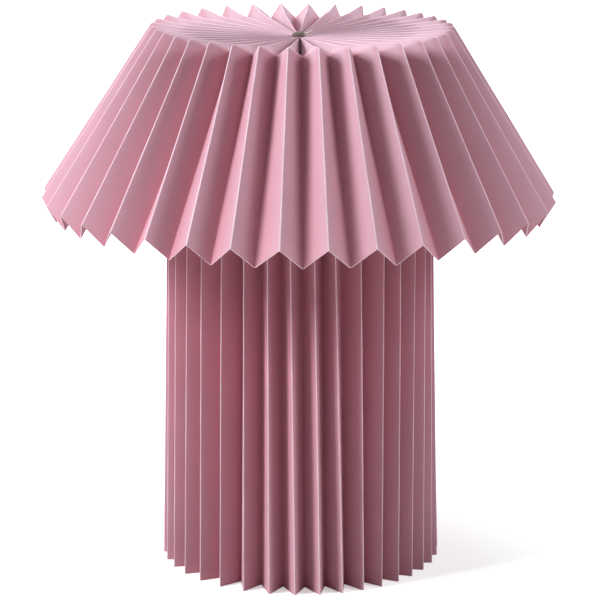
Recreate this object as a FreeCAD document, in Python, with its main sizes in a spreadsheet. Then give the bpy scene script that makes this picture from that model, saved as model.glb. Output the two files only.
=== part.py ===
"""Pleated paper table lamp.

A pleated paper shade rests on a wire carrier above a pleated paper column.  Inside the column a
weighted base, a hollow threaded tube and a stem carry the lampholder and its bulb.
Millimetres, +Z up, origin at the centre of the underside, the front of the lamp towards -Y.
"""
import FreeCAD
import Part
import Sketcher
import math
import os

os.makedirs("parts", exist_ok=True)
doc = FreeCAD.newDocument("pleated_paper_table_lamp")

# ---------------------------------------------------------------- driving sizes
SIZES = {
    # pleated paper
    "pleat_count": 35,
    "paper_thickness": 0.4,
    "seat_gap": 0.25,
    # column sheet: outer fold radius and depth of the folds, at the foot and at the mouth
    "column_foot_radius": 91.0,
    "column_foot_depth": 15.8,
    "column_mouth_radius": 85.2,
    "column_mouth_depth": 15.9,
    "column_over_ring": 5.0,
    # shade sheet: skirt edge, rim, tuck down to the shoulder of the deep deck folds, deck and hub
    "skirt_radius": 165.0,
    "skirt_depth": 7.4,
    "skirt_dip": 12.7,
    "skirt_drop": 106.8,
    "rim_radius": 95.7,
    "rim_depth": 14.7,
    "rim_dip": 6.7,
    "rim_thickness": 0.55,
    "tuck_radius": 77.0,
    "tuck_fold": 6.4,
    "tuck_web": 0.8,
    "shoulder_radius": 66.0,
    "shoulder_fold": 16.0,
    "shoulder_web": 1.2,
    "deck_radius": 24.0,
    "deck_fold": 13.6,
    "deck_web": 3.4,
    "hub_radius": 5.2,
    "hub_sink": 5.5,
    "hub_fold": 9.4,
    "hub_web": 8.0,
    # gather cord of the shade
    "gather_cord_radius": 0.65,
    "whipping_radius": 2.5,
    "whipping_half_length": 3.9,
    "whipping_offset": 0.8,
    "whipping_rise": 0.6,
    "tail_length": 9.0,
    "tail_lean": 70.0,
    "loop_drop": 1.0,
    # base
    "felt_thickness": 2.0,
    "felt_inset": 2.5,
    "plate_thickness": 10.0,
    "plate_chamfer": 1.2,
    "recess_radius": 14.0,
    "recess_depth": 6.0,
    "inlet_radius": 3.3,
    "inlet_wall": 1.0,
    "inlet_floor": 0.9,
    "inlet_depth": 14.0,
    "inlet_collar": 2.0,
    "inlet_lip": 1.2,
    "notch_side_gap": 1.0,
    "cut_overrun": 1.0,
    # threaded tube, stem and their nuts
    "tube_radius": 5.0,
    "tube_bore": 3.6,
    "tube_inset": 0.8,
    "fit_gap": 0.08,
    "stem_radius": 8.0,
    "stem_wall": 1.2,
    "stem_length": 144.0,
    "nut_flats": 14.0,
    "nut_thickness": 3.5,
    "washer_radius": 9.5,
    "washer_thickness": 1.0,
    # column spider
    "spider_hub_radius": 13.0,
    "spider_hub_thickness": 2.0,
    "spider_wire": 1.75,
    "spider_knee_radius": 42.0,
    "spider_bend": 10.0,
    "spider_rise": 94.0,
    "arm_count": 3,
    # lampholder
    "holder_radius": 19.5,
    "cap_neck_radius": 9.5,
    "cap_neck_height": 7.0,
    "cap_dome_height": 13.0,
    "cap_height": 26.0,
    "cap_wall": 2.0,
    "cap_floor": 9.0,
    "cap_ledge": 18.0,
    "cap_ledge_radius": 14.0,
    "cap_inner_dome": 13.5,
    "lock_screw_radius": 1.5,
    "core_above_cap": 5.0,
    "shell_height": 32.0,
    "flange_base": 2.0,
    "flange_thickness": 2.5,
    "flange_radius": 23.5,
    "contact_thickness": 0.6,
    "contact_rise": 3.4,
    "contact_width": 6.0,
    "side_contact_width": 4.0,
    "terminal_spacing": 8.0,
    "terminal_radius": 2.2,
    # shade carrier and its threaded ring
    "carrier_hub_radius": 28.0,
    "carrier_hub_thickness": 1.5,
    "carrier_wire": 2.0,
    "carrier_knee_radius": 31.0,
    "carrier_bend": 8.0,
    "carrier_rise": 144.3,
    "ring_radius": 25.4,
    "ring_height": 9.0,
    "ring_step": 3.0,
    "ring_bevel": 1.0,
    "ring_neck_radius": 23.0,
    # bulb
    "bulb_thread_radius": 13.1,
    "bulb_thread_gap": 0.4,
    "bulb_contact_radius": 4.4,
    "bulb_contact_height": 1.2,
    "bulb_pin_radius": 2.6,
    "insulator_height": 3.8,
    "insulator_tip_radius": 5.4,
    "insulator_radius": 11.2,
    "bulb_cap_height": 22.0,
    "bulb_cap_lip": 1.0,
    "bulb_neck_radius": 14.2,
    "housing_height": 42.0,
    "housing_wall": 1.6,
    "housing_neck_height": 5.0,
    "housing_neck_radius": 15.2,
    "housing_waist_height": 25.2,
    "housing_waist_radius": 24.5,
    "housing_shoulder_height": 34.4,
    "housing_shoulder_radius": 27.6,
    "globe_rim_radius": 28.8,
    "globe_height": 39.0,
    "globe_wall": 1.2,
    "board_radius": 25.0,
    "board_thickness": 1.6,
}

sheet = doc.addObject("Spreadsheet::Sheet", "sizes")
for row, (alias, number) in enumerate(SIZES.items(), start=1):
    sheet.set(f"A{row}", alias)
    sheet.set(f"B{row}", str(number))
    sheet.setAlias(f"B{row}", alias)
doc.recompute()


def value(expression):
    """Number that an expression of the sheet gives now, in mm or degrees."""
    result = sheet.evalExpression(expression)
    return float(getattr(result, "Value", result))


# ---------------------------------------------------------------- derived sizes, as expressions
HALF_PLEAT = "(180 / sizes.pleat_count)"

# height of each level above the floor
PLATE_BASE = "sizes.felt_thickness"
PLATE_TOP = f"({PLATE_BASE} + sizes.plate_thickness)"
SPIDER_BASE = f"({PLATE_TOP} + sizes.stem_length)"
LOCK_WASHER_BASE = f"({SPIDER_BASE} + sizes.spider_hub_thickness)"
LOCK_NUT_BASE = f"({LOCK_WASHER_BASE} + sizes.washer_thickness)"
HOLDER_BASE = f"({LOCK_NUT_BASE} + sizes.nut_thickness)"
SHELL_BASE = f"({HOLDER_BASE} + sizes.cap_height)"
CARRIER_BASE = f"({SHELL_BASE} + sizes.flange_base + sizes.flange_thickness)"
RING_BASE = f"({CARRIER_BASE} + sizes.carrier_hub_thickness)"
CORE_TOP = f"({SHELL_BASE} + sizes.core_above_cap)"
BULB_BASE = f"({CORE_TOP} + sizes.contact_rise + sizes.seat_gap)"
CARRIER_RING = f"({CARRIER_BASE} + sizes.carrier_rise)"
SPIDER_RING = f"({SPIDER_BASE} + sizes.spider_rise)"
COLUMN_HEIGHT = f"({SPIDER_RING} + sizes.column_over_ring)"

# a fold's two faces meet at an angle: along the section the corner stands off by the sheet's
# thickness over the sine of that angle
COLUMN_FOOT_VALLEY = "(sizes.column_foot_radius - sizes.column_foot_depth)"
COLUMN_MOUTH_VALLEY = "(sizes.column_mouth_radius - sizes.column_mouth_depth)"


def across(valley):
    """Sideways place of a valley fold whose neighbour is a ridge on the X axis."""
    return f"({valley} * sin({HALF_PLEAT}))"


def along(valley):
    """Place of the same valley fold along the X axis."""
    return f"({valley} * cos({HALF_PLEAT}))"


def corner(ridge, valley, slope="1", thickness="sizes.paper_thickness"):
    """Stand-off of the sheet's inner corner; slope is the cosine of the section's tilt."""
    run = f"(({ridge} - {along(valley)}) / {slope})"
    return f"({thickness} / sin(atan({across(valley)} / {run})))"


COLUMN_FOOT_CORNER = corner("sizes.column_foot_radius", COLUMN_FOOT_VALLEY)
COLUMN_MOUTH_CORNER = corner("sizes.column_mouth_radius", COLUMN_MOUTH_VALLEY)
COLUMN_INSIDE = f"({COLUMN_FOOT_VALLEY} - {COLUMN_FOOT_CORNER})"
COLUMN_MOUTH_INSIDE = f"({COLUMN_MOUTH_VALLEY} - {COLUMN_MOUTH_CORNER})"
COLUMN_TAPER = f"(({COLUMN_INSIDE} - {COLUMN_MOUTH_INSIDE}) / {COLUMN_HEIGHT})"

# what stands inside the column keeps clear of its inner folds
PLATE_RADIUS = f"({COLUMN_INSIDE} - {COLUMN_TAPER} * {PLATE_TOP} - sizes.seat_gap)"
SPIDER_RADIUS = (
    f"({COLUMN_INSIDE} - {COLUMN_TAPER} * {COLUMN_HEIGHT} - sizes.seat_gap - sizes.spider_wire)"
)

# the shade is drawn from the lowest tips of its skirt upwards; "under" is the sheet's lower face
# along a valley fold
SKIRT_VALLEY = "(sizes.skirt_radius - sizes.skirt_depth)"
SKIRT_TILT = f"atan(sizes.skirt_dip / (sizes.skirt_radius - {along(SKIRT_VALLEY)}))"
SKIRT_CORNER = corner("sizes.skirt_radius", SKIRT_VALLEY, f"cos({SKIRT_TILT})")
SKIRT_UNDER_RADIUS = f"({SKIRT_VALLEY} - {SKIRT_CORNER} * cos({SKIRT_TILT}) / cos({HALF_PLEAT}))"
SKIRT_UNDER_HEIGHT = f"(0 - {SKIRT_CORNER} * sin({SKIRT_TILT}))"
RIM_VALLEY = "(sizes.rim_radius - sizes.rim_depth)"
RIM_HEIGHT = "(sizes.skirt_dip + sizes.skirt_drop)"
RIM_TILT = f"atan(sizes.rim_dip / (sizes.rim_radius - {along(RIM_VALLEY)}))"
RIM_CORNER = corner("sizes.rim_radius", RIM_VALLEY, f"cos({RIM_TILT})", "sizes.rim_thickness")
RIM_UNDER_RADIUS = f"({RIM_VALLEY} - {RIM_CORNER} * cos({RIM_TILT}) / cos({HALF_PLEAT}))"
RIM_UNDER_HEIGHT = f"({RIM_HEIGHT} - sizes.rim_dip - {RIM_CORNER} * sin({RIM_TILT}))"


def ridge_height(radius):
    """Height of the deck's ridges, which fall in a straight line from the rim to the hub."""
    share = f"((sizes.rim_radius - {radius}) / (sizes.rim_radius - sizes.hub_radius))"
    return f"({RIM_HEIGHT} - sizes.hub_sink * {share})"


TUCK_HEIGHT = ridge_height("sizes.tuck_radius")
SHOULDER_HEIGHT = ridge_height("sizes.shoulder_radius")
DECK_HEIGHT = ridge_height("sizes.deck_radius")
HUB_HEIGHT = ridge_height("sizes.hub_radius")
SHOULDER_UNDER_RADIUS = f"(sizes.shoulder_radius / cos({HALF_PLEAT}))"
SHOULDER_UNDER_HEIGHT = f"({SHOULDER_HEIGHT} - sizes.shoulder_fold - sizes.shoulder_web)"

# the carrier's wire ring nests under the rim's valley corners, between the skirt and the tucks
# by which the deck's deep folds rise to the rim
TUCK_SLOPE = (
    f"atan(({RIM_UNDER_HEIGHT} - {SHOULDER_UNDER_HEIGHT})"
    f" / ({RIM_UNDER_RADIUS} - {SHOULDER_UNDER_RADIUS}))"
)
SKIRT_SLOPE = (
    f"atan(({RIM_UNDER_HEIGHT} - {SKIRT_UNDER_HEIGHT})"
    f" / ({SKIRT_UNDER_RADIUS} - {RIM_UNDER_RADIUS}))"
)
NEST_LEAN = f"(({TUCK_SLOPE} - {SKIRT_SLOPE}) / 2)"
NEST_DROP = (
    f"((sizes.carrier_wire + sizes.seat_gap) / cos(({TUCK_SLOPE} + {SKIRT_SLOPE}) / 2))"
)
CARRIER_RADIUS = f"({RIM_UNDER_RADIUS} + {NEST_DROP} * sin({NEST_LEAN}))"
SEAT_HEIGHT = f"({RIM_UNDER_HEIGHT} - {NEST_DROP} * cos({NEST_LEAN}))"
SHADE_BASE = f"({CARRIER_RING} - {SEAT_HEIGHT})"

# the lead's inlet, from the floor of its channel upwards
INLET_HALF = "(sizes.inlet_radius + sizes.inlet_wall)"
INLET_CENTRE = "(sizes.inlet_radius + sizes.inlet_floor)"
INLET_HEIGHT = f"({INLET_CENTRE} + {INLET_HALF})"


# ---------------------------------------------------------------- helpers
def new_body(name):
    body = doc.addObject("PartDesign::Body", name)
    body.Label = name
    return body


def origin_feature(body, role):
    return next(item for item in body.Origin.OriginFeatures if item.Role == role)


def new_sketch(body, name, role="XY_Plane", height=None):
    """Sketch on one of the body's origin planes, raised along the plane's normal."""
    sketch = body.newObject("Sketcher::SketchObject", name)
    sketch.AttachmentSupport = [(origin_feature(body, role), "")]
    sketch.MapMode = "FlatFace"
    if height:
        sketch.setExpression(".AttachmentOffset.Base.z", height)
    return sketch


def bind_constraint(sketch, kind, geometry, expression):
    """Dimension constraint whose value comes from the sheet."""
    number = value(expression)
    index = sketch.addConstraint(Sketcher.Constraint(kind, *geometry, number))
    sketch.setExpression(f"Constraints[{index}]", expression)


def place_point(sketch, line, point, x, y):
    """Fix a point by its two coordinates; a coordinate of 0 puts it on that axis."""
    if x == "0":
        sketch.addConstraint(Sketcher.Constraint("PointOnObject", line, point, -2))
    else:
        bind_constraint(sketch, "DistanceX", (-1, 1, line, point), x)
    if y == "0":
        sketch.addConstraint(Sketcher.Constraint("PointOnObject", line, point, -1))
    else:
        bind_constraint(sketch, "DistanceY", (-1, 1, line, point), y)


def arc_on_axis(start, end):
    """Arc between two points whose centre is on the sketch's vertical axis."""
    chord_square = start.x ** 2 + start.y ** 2 - end.x ** 2 - end.y ** 2
    centre = FreeCAD.Vector(0, chord_square / (2 * (start.y - end.y)), 0)
    circle = Part.Circle(centre, FreeCAD.Vector(0, 0, 1), (start - centre).Length)
    angles = [math.atan2(point.y - centre.y, point.x - centre.x) for point in (start, end)]
    return Part.ArcOfCircle(circle, min(angles), max(angles)), angles[0] < angles[1]


def draw_profile(sketch, corners, arcs=()):
    """Closed outline through the corners; the sides named in arcs are round about the axis."""
    points = [FreeCAD.Vector(value(x), value(y), 0) for x, y in corners]
    count = len(points)
    sides = []
    for index, start in enumerate(points):
        end = points[(index + 1) % count]
        if index in arcs:
            shape, forwards = arc_on_axis(start, end)
        else:
            shape, forwards = Part.LineSegment(start, end), True
        sides.append((sketch.addGeometry(shape), *((1, 2) if forwards else (2, 1))))
    for index, (side, first, last) in enumerate(sides):
        following, following_first, _ = sides[(index + 1) % count]
        meeting = Sketcher.Constraint("Coincident", side, last, following, following_first)
        sketch.addConstraint(meeting)
        if index in arcs:
            sketch.addConstraint(Sketcher.Constraint("PointOnObject", side, 3, -2))
        place_point(sketch, side, first, *corners[index])


def draw_circle(sketch, radius, x="0", y="0"):
    centre = FreeCAD.Vector(value(x), value(y), 0)
    circle = Part.Circle(centre, FreeCAD.Vector(0, 0, 1), value(radius))
    index = sketch.addGeometry(circle)
    bind_constraint(sketch, "Radius", (index,), radius)
    place_point(sketch, index, 3, x, y)


def turn(body, sketch):
    """Revolve a sketch drawn on the XZ plane about the vertical axis."""
    feature = body.newObject("PartDesign::Revolution", "turning")
    feature.Profile = sketch
    feature.ReferenceAxis = (sketch, ["V_Axis"])
    feature.Angle = 360
    return feature


def pad(body, sketch, length, reverse=False):
    feature = body.newObject("PartDesign::Pad", "pad")
    feature.Profile = sketch
    feature.setExpression("Length", length)
    feature.Reversed = reverse
    return feature


def cut(body, sketch, length, reverse=False):
    """Pocket along the sketch's normal, or against it."""
    feature = body.newObject("PartDesign::Pocket", "cut")
    feature.Profile = sketch
    feature.setExpression("Length", length)
    feature.Reversed = reverse
    return feature


def repeat(body, features, count):
    """Repeat features in equal steps round the vertical axis."""
    doc.recompute()
    pattern = body.newObject("PartDesign::PolarPattern", "pattern")
    pattern.Originals = features
    pattern.Axis = (origin_feature(body, "Z_Axis"), [""])
    pattern.Angle = 360
    pattern.setExpression("Occurrences", count)
    body.Tip = pattern
    return pattern


def lift(item, height):
    item.setExpression(".Placement.Base.z", height)
    return item


def turned_piece(name, corners, arcs=(), height=None):
    """Body revolved from one outline, standing at a height."""
    body = new_body(name)
    sketch = new_sketch(body, f"{name}_profile", "XZ_Plane")
    draw_profile(sketch, corners, arcs)
    turn(body, sketch)
    if height:
        lift(body, height)
    return body


def ring_piece(name, inner, outer, thickness, height):
    """Flat washer or tube."""
    corners = [(inner, "0"), (outer, "0"), (outer, thickness), (inner, thickness)]
    return turned_piece(name, corners, height=height)


def hex_nut(name, height):
    """Thin hexagon nut on the threaded tube."""
    body = new_body(name)
    sketch = new_sketch(body, f"{name}_profile")
    radius = "(sizes.nut_flats / 2 / cos(30))"
    side = "(sizes.nut_flats / 2)"
    middle = f"({radius} / 2)"
    corners = [
        (radius, "0"), (middle, side), (f"(0 - {middle})", side),
        (f"(0 - {radius})", "0"), (f"(0 - {middle})", f"(0 - {side})"), (middle, f"(0 - {side})"),
    ]
    draw_profile(sketch, corners)
    draw_circle(sketch, "(sizes.tube_radius + sizes.fit_gap)")
    pad(body, sketch, "sizes.nut_thickness")
    return lift(body, height)


# ---------------------------------------------------------------- pleated paper
def fold_section(sketch, ridge, valley, stand_off, side, swap=False):
    """Section of one fold: a chevron of sheet between the half-pleat planes at its two sides.

    ridge, valley: place of the outer faces along the section; stand_off: how far the inner
    faces lie below them; side: how far aside a place on the half-pleat plane is.
    """
    def point(along_axis, aside):
        first, second = value(along_axis), value(aside)
        return FreeCAD.Vector(second, first, 0) if swap else FreeCAD.Vector(first, second, 0)

    ridge_under = f"({ridge} - {stand_off})"
    valley_under = f"({valley} - {stand_off})"
    corners = [
        point(ridge, "0"), point(valley, side(valley)), point(valley_under, side(valley_under)),
        point(ridge_under, "0"),
    ]
    mirrored = [
        FreeCAD.Vector(-place.x, place.y, 0) if swap else FreeCAD.Vector(place.x, -place.y, 0)
        for place in (corners[2], corners[1])
    ]
    outline = corners + mirrored
    lines = [
        sketch.addGeometry(Part.LineSegment(start, outline[(index + 1) % 6]))
        for index, start in enumerate(outline)
    ]
    for index, line in enumerate(lines):
        sketch.addConstraint(Sketcher.Constraint("Coincident", line, 2, lines[(index + 1) % 6], 1))
    axis = -2 if swap else -1
    along_kind, aside_kind = ("DistanceY", "DistanceX") if swap else ("DistanceX", "DistanceY")
    for line, place in ((lines[0], ridge), (lines[3], ridge_under)):
        sketch.addConstraint(Sketcher.Constraint("PointOnObject", line, 1, axis))
        bind_constraint(sketch, along_kind, (-1, 1, line, 1), place)
    for line, place in ((lines[1], valley), (lines[2], valley_under)):
        bind_constraint(sketch, along_kind, (-1, 1, line, 1), place)
        bind_constraint(sketch, aside_kind, (-1, 1, line, 1), side(place))
    sketch.addConstraint(Sketcher.Constraint("Symmetric", lines[1], 1, lines[5], 1, axis))
    sketch.addConstraint(Sketcher.Constraint("Symmetric", lines[2], 1, lines[4], 1, axis))


def loft(body, sections):
    feature = body.newObject("PartDesign::AdditiveLoft", "fold")
    feature.Profile = sections[0]
    feature.Sections = sections[1:]
    feature.Ruled = True
    return feature


def column_section(body, name, ridge, valley, stand_off, height=None):
    """Level section of a column fold, turned so that a valley faces the front."""
    sketch = new_sketch(body, name, height=height)
    sketch.AttachmentOffset = FreeCAD.Placement(
        FreeCAD.Vector(), FreeCAD.Rotation(FreeCAD.Vector(0, 0, 1), value(f"270 + {HALF_PLEAT}")))
    sketch.setExpression(".AttachmentOffset.Rotation.Angle", f"270 + {HALF_PLEAT}")
    if height:
        sketch.setExpression(".AttachmentOffset.Base.z", height)
    fold_section(sketch, ridge, along(valley), stand_off,
                 lambda place: f"({place} * tan({HALF_PLEAT}))")
    return sketch


def make_column_paper():
    """Upright pleated sheet, a little wider at the foot, with a notch for a cord at the rear."""
    body = new_body("column_paper")
    foot = column_section(body, "foot_section", "sizes.column_foot_radius", COLUMN_FOOT_VALLEY,
                          COLUMN_FOOT_CORNER)
    mouth = column_section(body, "mouth_section", "sizes.column_mouth_radius", COLUMN_MOUTH_VALLEY,
                           COLUMN_MOUTH_CORNER, COLUMN_HEIGHT)
    repeat(body, [loft(body, [foot, mouth])], "sizes.pleat_count")
    doc.recompute()
    notch = new_sketch(body, "cord_notch", "XZ_Plane")
    half = f"({INLET_HALF} + sizes.inlet_lip + sizes.notch_side_gap)"
    top = f"({PLATE_BASE} + {INLET_HEIGHT} + sizes.inlet_lip + sizes.notch_side_gap)"
    draw_profile(notch, [(f"(0 - {half})", "0"), (half, "0"), (half, top), (f"(0 - {half})", top)])
    body.Tip = cut(body, notch, "(sizes.column_foot_radius + sizes.cut_overrun)")
    return body


def tilted_section(body, name, ridge_radius, ridge_height, valley, tilt, stand_off):
    """Section across one fold of the shade, in the plane through its ridge and both valleys."""
    sketch = new_sketch(body, name)
    drop = f"{ridge_height} - {ridge_radius} * tan({tilt})"
    sketch.AttachmentOffset = FreeCAD.Placement(
        FreeCAD.Vector(0, 0, value(drop)), FreeCAD.Rotation(FreeCAD.Vector(0, -1, 0), value(tilt)))
    sketch.setExpression(".AttachmentOffset.Base.z", drop)
    sketch.setExpression(".AttachmentOffset.Rotation.Angle", tilt)
    fold_section(sketch, f"({ridge_radius} / cos({tilt}))", f"({along(valley)} / cos({tilt}))",
                 stand_off, lambda place: f"({place} * cos({tilt}) * tan({HALF_PLEAT}))")
    return sketch


def upright_section(body, name, radius, ridge_height, fold, web):
    """Section of a fold of the deck in an upright plane; the folds crowd towards the hub."""
    sketch = new_sketch(body, name, "YZ_Plane", radius)
    fold_section(sketch, ridge_height, f"({ridge_height} - {fold})", web,
                 lambda place: f"({radius} * tan({HALF_PLEAT}))", swap=True)
    return sketch


def make_shade_paper():
    """Pleated sheet: flared skirt, creased over the rim, deep-folded deck gathered to a hub."""
    body = new_body("shade_paper")
    skirt = tilted_section(body, "skirt_section", "sizes.skirt_radius", "sizes.skirt_dip",
                           SKIRT_VALLEY, SKIRT_TILT, SKIRT_CORNER)
    rim = tilted_section(body, "rim_section", "sizes.rim_radius", RIM_HEIGHT, RIM_VALLEY,
                         RIM_TILT, RIM_CORNER)
    tuck = upright_section(body, "tuck_section", "sizes.tuck_radius", TUCK_HEIGHT,
                           "sizes.tuck_fold", "sizes.tuck_web")
    shoulder = upright_section(body, "shoulder_section", "sizes.shoulder_radius", SHOULDER_HEIGHT,
                               "sizes.shoulder_fold", "sizes.shoulder_web")
    deck = upright_section(body, "deck_section", "sizes.deck_radius", DECK_HEIGHT,
                           "sizes.deck_fold", "sizes.deck_web")
    hub = upright_section(body, "hub_section", "sizes.hub_radius", HUB_HEIGHT,
                          "sizes.hub_fold", "sizes.hub_web")
    repeat(body, [loft(body, [skirt, rim, tuck, shoulder, deck, hub])], "sizes.pleat_count")
    body.Placement = FreeCAD.Placement(
        FreeCAD.Vector(), FreeCAD.Rotation(FreeCAD.Vector(0, 0, 1), value(f"270 + {HALF_PLEAT}")))
    body.setExpression(".Placement.Rotation.Angle", f"270 + {HALF_PLEAT}")
    return lift(body, SHADE_BASE)


def make_gather_cord():
    """Cord drawn tight through the inner ends of the folds, whipped round its own two ends."""
    loop = doc.addObject("Part::Torus", "gather_loop")
    loop.setExpression("Radius1", "(sizes.hub_radius - sizes.gather_cord_radius - sizes.seat_gap)")
    loop.setExpression("Radius2", "sizes.gather_cord_radius")
    whipping = doc.addObject("Part::Ellipsoid", "gather_whipping")
    whipping.setExpression("Radius1", "sizes.whipping_radius")
    whipping.setExpression("Radius2", "sizes.whipping_half_length")
    whipping.setExpression("Radius3", "sizes.whipping_radius")
    tail = doc.addObject("Part::Cylinder", "gather_tail")
    tail.setExpression("Radius", "sizes.gather_cord_radius")
    tail.setExpression("Height", "sizes.tail_length")
    tail.Placement.Rotation = FreeCAD.Rotation(FreeCAD.Vector(0, 1, 0), value("sizes.tail_lean"))
    tail.setExpression(".Placement.Rotation.Angle", "sizes.tail_lean")
    for piece in (whipping, tail):
        piece.setExpression(".Placement.Base.x", "(0 - sizes.whipping_offset)")
        piece.setExpression(".Placement.Base.y", "(0 - sizes.whipping_offset)")
        piece.setExpression(".Placement.Base.z", "sizes.whipping_rise")
    cord = doc.addObject("Part::MultiFuse", "gather_cord")
    cord.Shapes = [loop, whipping, tail]
    cord.Label = "gather_cord"
    return lift(cord, f"({SHADE_BASE} + {HUB_HEIGHT} - sizes.loop_drop)")


# ---------------------------------------------------------------- base
def draw_arch(sketch, half, centre):
    """Slot outline with a flat foot on the X axis and bevelled top corners round a bore."""
    bevel = f"({half} * tan(22.5))"
    shoulder = f"({centre} + {bevel})"
    crown = f"({centre} + {half})"
    draw_profile(sketch, [
        (f"(0 - {half})", "0"), (half, "0"), (half, shoulder), (bevel, crown),
        (f"(0 - {bevel})", crown), (f"(0 - {half})", shoulder),
    ])


def make_base():
    felt = doc.addObject("Part::Cylinder", "base_felt")
    felt.Label = "base_felt"
    felt.setExpression("Radius", f"({PLATE_RADIUS} - sizes.felt_inset)")
    felt.setExpression("Height", "sizes.felt_thickness")

    bore = "(sizes.tube_radius + sizes.fit_gap)"
    bevel = "sizes.plate_chamfer"
    plate = turned_piece("base_plate", [
        (bore, "sizes.recess_depth"), ("sizes.recess_radius", "sizes.recess_depth"),
        ("sizes.recess_radius", "0"), (PLATE_RADIUS, "0"),
        (PLATE_RADIUS, f"(sizes.plate_thickness - {bevel})"),
        (f"({PLATE_RADIUS} - {bevel})", "sizes.plate_thickness"), (bore, "sizes.plate_thickness"),
    ], height=PLATE_BASE)
    channel = new_sketch(plate, "cord_channel", "XZ_Plane")
    draw_arch(channel, f"({INLET_HALF} + sizes.fit_gap)", INLET_CENTRE)
    plate.Tip = cut(plate, channel, f"({PLATE_RADIUS} + sizes.cut_overrun)")

    inlet = new_body("cord_inlet")
    block = new_sketch(inlet, "inlet_outline", "XZ_Plane", f"(0 - {PLATE_RADIUS})")
    draw_arch(block, INLET_HALF, INLET_CENTRE)
    pad(inlet, block, "sizes.inlet_depth")
    collar = new_sketch(inlet, "collar_outline", "XZ_Plane", f"(0 - {PLATE_RADIUS})")
    draw_arch(collar, f"({INLET_HALF} + sizes.inlet_lip)", INLET_CENTRE)
    pad(inlet, collar, "sizes.inlet_collar", reverse=True)
    opening = new_sketch(inlet, "inlet_bore", "XZ_Plane")
    draw_circle(opening, "sizes.inlet_radius", y=INLET_CENTRE)
    inlet.Tip = cut(inlet, opening, f"({PLATE_RADIUS} + sizes.inlet_collar + sizes.cut_overrun)")
    lift(inlet, PLATE_BASE)
    return [felt, plate, inlet]


# ---------------------------------------------------------------- tube, stem, nuts and washers
def make_stem():
    bore = "(sizes.tube_radius + sizes.fit_gap)"
    tube_base = f"({PLATE_BASE} + sizes.tube_inset)"
    tube_length = f"({HOLDER_BASE} + sizes.cap_floor - {tube_base})"
    base_washer = f"({PLATE_BASE} + sizes.recess_depth - sizes.washer_thickness)"
    return [
        ring_piece("threaded_tube", "sizes.tube_bore", "sizes.tube_radius", tube_length, tube_base),
        ring_piece("stem_tube", "(sizes.stem_radius - sizes.stem_wall)", "sizes.stem_radius",
                   "sizes.stem_length", PLATE_TOP),
        ring_piece("base_washer", bore, "sizes.washer_radius", "sizes.washer_thickness", base_washer),
        hex_nut("base_nut", f"({base_washer} - sizes.nut_thickness)"),
        ring_piece("lock_washer", bore, "sizes.washer_radius", "sizes.washer_thickness",
                   LOCK_WASHER_BASE),
        hex_nut("lock_nut", LOCK_NUT_BASE),
    ]


def draw_arm(path, root, wire, knee, bend, rim, rise):
    """Wire's line: level from its root to the knee, one bend, then straight up to the rim."""
    start = FreeCAD.Vector(value(root), value(wire), 0)
    level_end = FreeCAD.Vector(value(knee), value(wire), 0)
    end = FreeCAD.Vector(value(rim), value(rise), 0)
    radius = value(bend)
    centre = level_end + FreeCAD.Vector(0, radius, 0)
    reach = end - centre
    turn_end = math.atan2(reach.y, reach.x) - math.acos(radius / reach.Length)
    bend_end = centre + FreeCAD.Vector(radius * math.cos(turn_end), radius * math.sin(turn_end), 0)
    circle = Part.Circle(centre, FreeCAD.Vector(0, 0, 1), radius)
    level = path.addGeometry(Part.LineSegment(start, level_end))
    curve = path.addGeometry(Part.ArcOfCircle(circle, -math.pi / 2, turn_end))
    slope = path.addGeometry(Part.LineSegment(bend_end, end))
    path.addConstraint(Sketcher.Constraint("Tangent", level, 2, curve, 1))
    path.addConstraint(Sketcher.Constraint("Tangent", curve, 2, slope, 1))
    path.addConstraint(Sketcher.Constraint("Horizontal", level))
    place_point(path, level, 1, root, wire)
    place_point(path, slope, 2, rim, rise)
    bind_constraint(path, "DistanceX", (-1, 1, curve, 1), knee)
    bind_constraint(path, "Radius", (curve,), bend)


def wire_spider(name, bore, hub_radius, hub_thickness, wire, knee, bend, rim, rise, turned_by):
    """Flat hub, bent wire arms and a wire ring, welded into one piece."""
    body = new_body(name)
    hub = new_sketch(body, f"{name}_hub")
    draw_circle(hub, hub_radius)
    draw_circle(hub, bore)
    pad(body, hub, hub_thickness)
    doc.recompute()
    root = f"({hub_radius} - {wire})"
    path = new_sketch(body, f"{name}_path", "XZ_Plane")
    draw_arm(path, root, wire, knee, bend, rim, rise)
    section = new_sketch(body, f"{name}_wire", "YZ_Plane", root)
    draw_circle(section, wire, y=wire)
    doc.recompute()
    arm = body.newObject("PartDesign::AdditivePipe", f"{name}_arm")
    arm.Profile = section
    arm.Spine = (path, ["Edge1", "Edge2", "Edge3"])
    repeat(body, [arm], "sizes.arm_count")
    doc.recompute()
    ring = body.newObject("PartDesign::AdditiveTorus", f"{name}_ring")
    ring.AttachmentSupport = [(origin_feature(body, "XY_Plane"), "")]
    ring.MapMode = "FlatFace"
    ring.setExpression(".AttachmentOffset.Base.z", rise)
    ring.setExpression("Radius1", rim)
    ring.setExpression("Radius2", wire)
    body.Tip = ring
    body.Placement = FreeCAD.Placement(
        FreeCAD.Vector(), FreeCAD.Rotation(FreeCAD.Vector(0, 0, 1), turned_by))
    return body


def make_spiders():
    column = wire_spider(
        "column_spider", "(sizes.tube_radius + sizes.fit_gap)", "sizes.spider_hub_radius",
        "sizes.spider_hub_thickness", "sizes.spider_wire", "sizes.spider_knee_radius",
        "sizes.spider_bend", SPIDER_RADIUS, "sizes.spider_rise", 90)
    carrier = wire_spider(
        "shade_carrier", "(sizes.holder_radius + sizes.fit_gap)", "sizes.carrier_hub_radius",
        "sizes.carrier_hub_thickness", "sizes.carrier_wire", "sizes.carrier_knee_radius",
        "sizes.carrier_bend", CARRIER_RADIUS, "sizes.carrier_rise", 30)
    return [lift(column, SPIDER_BASE), lift(carrier, CARRIER_BASE)]


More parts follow.
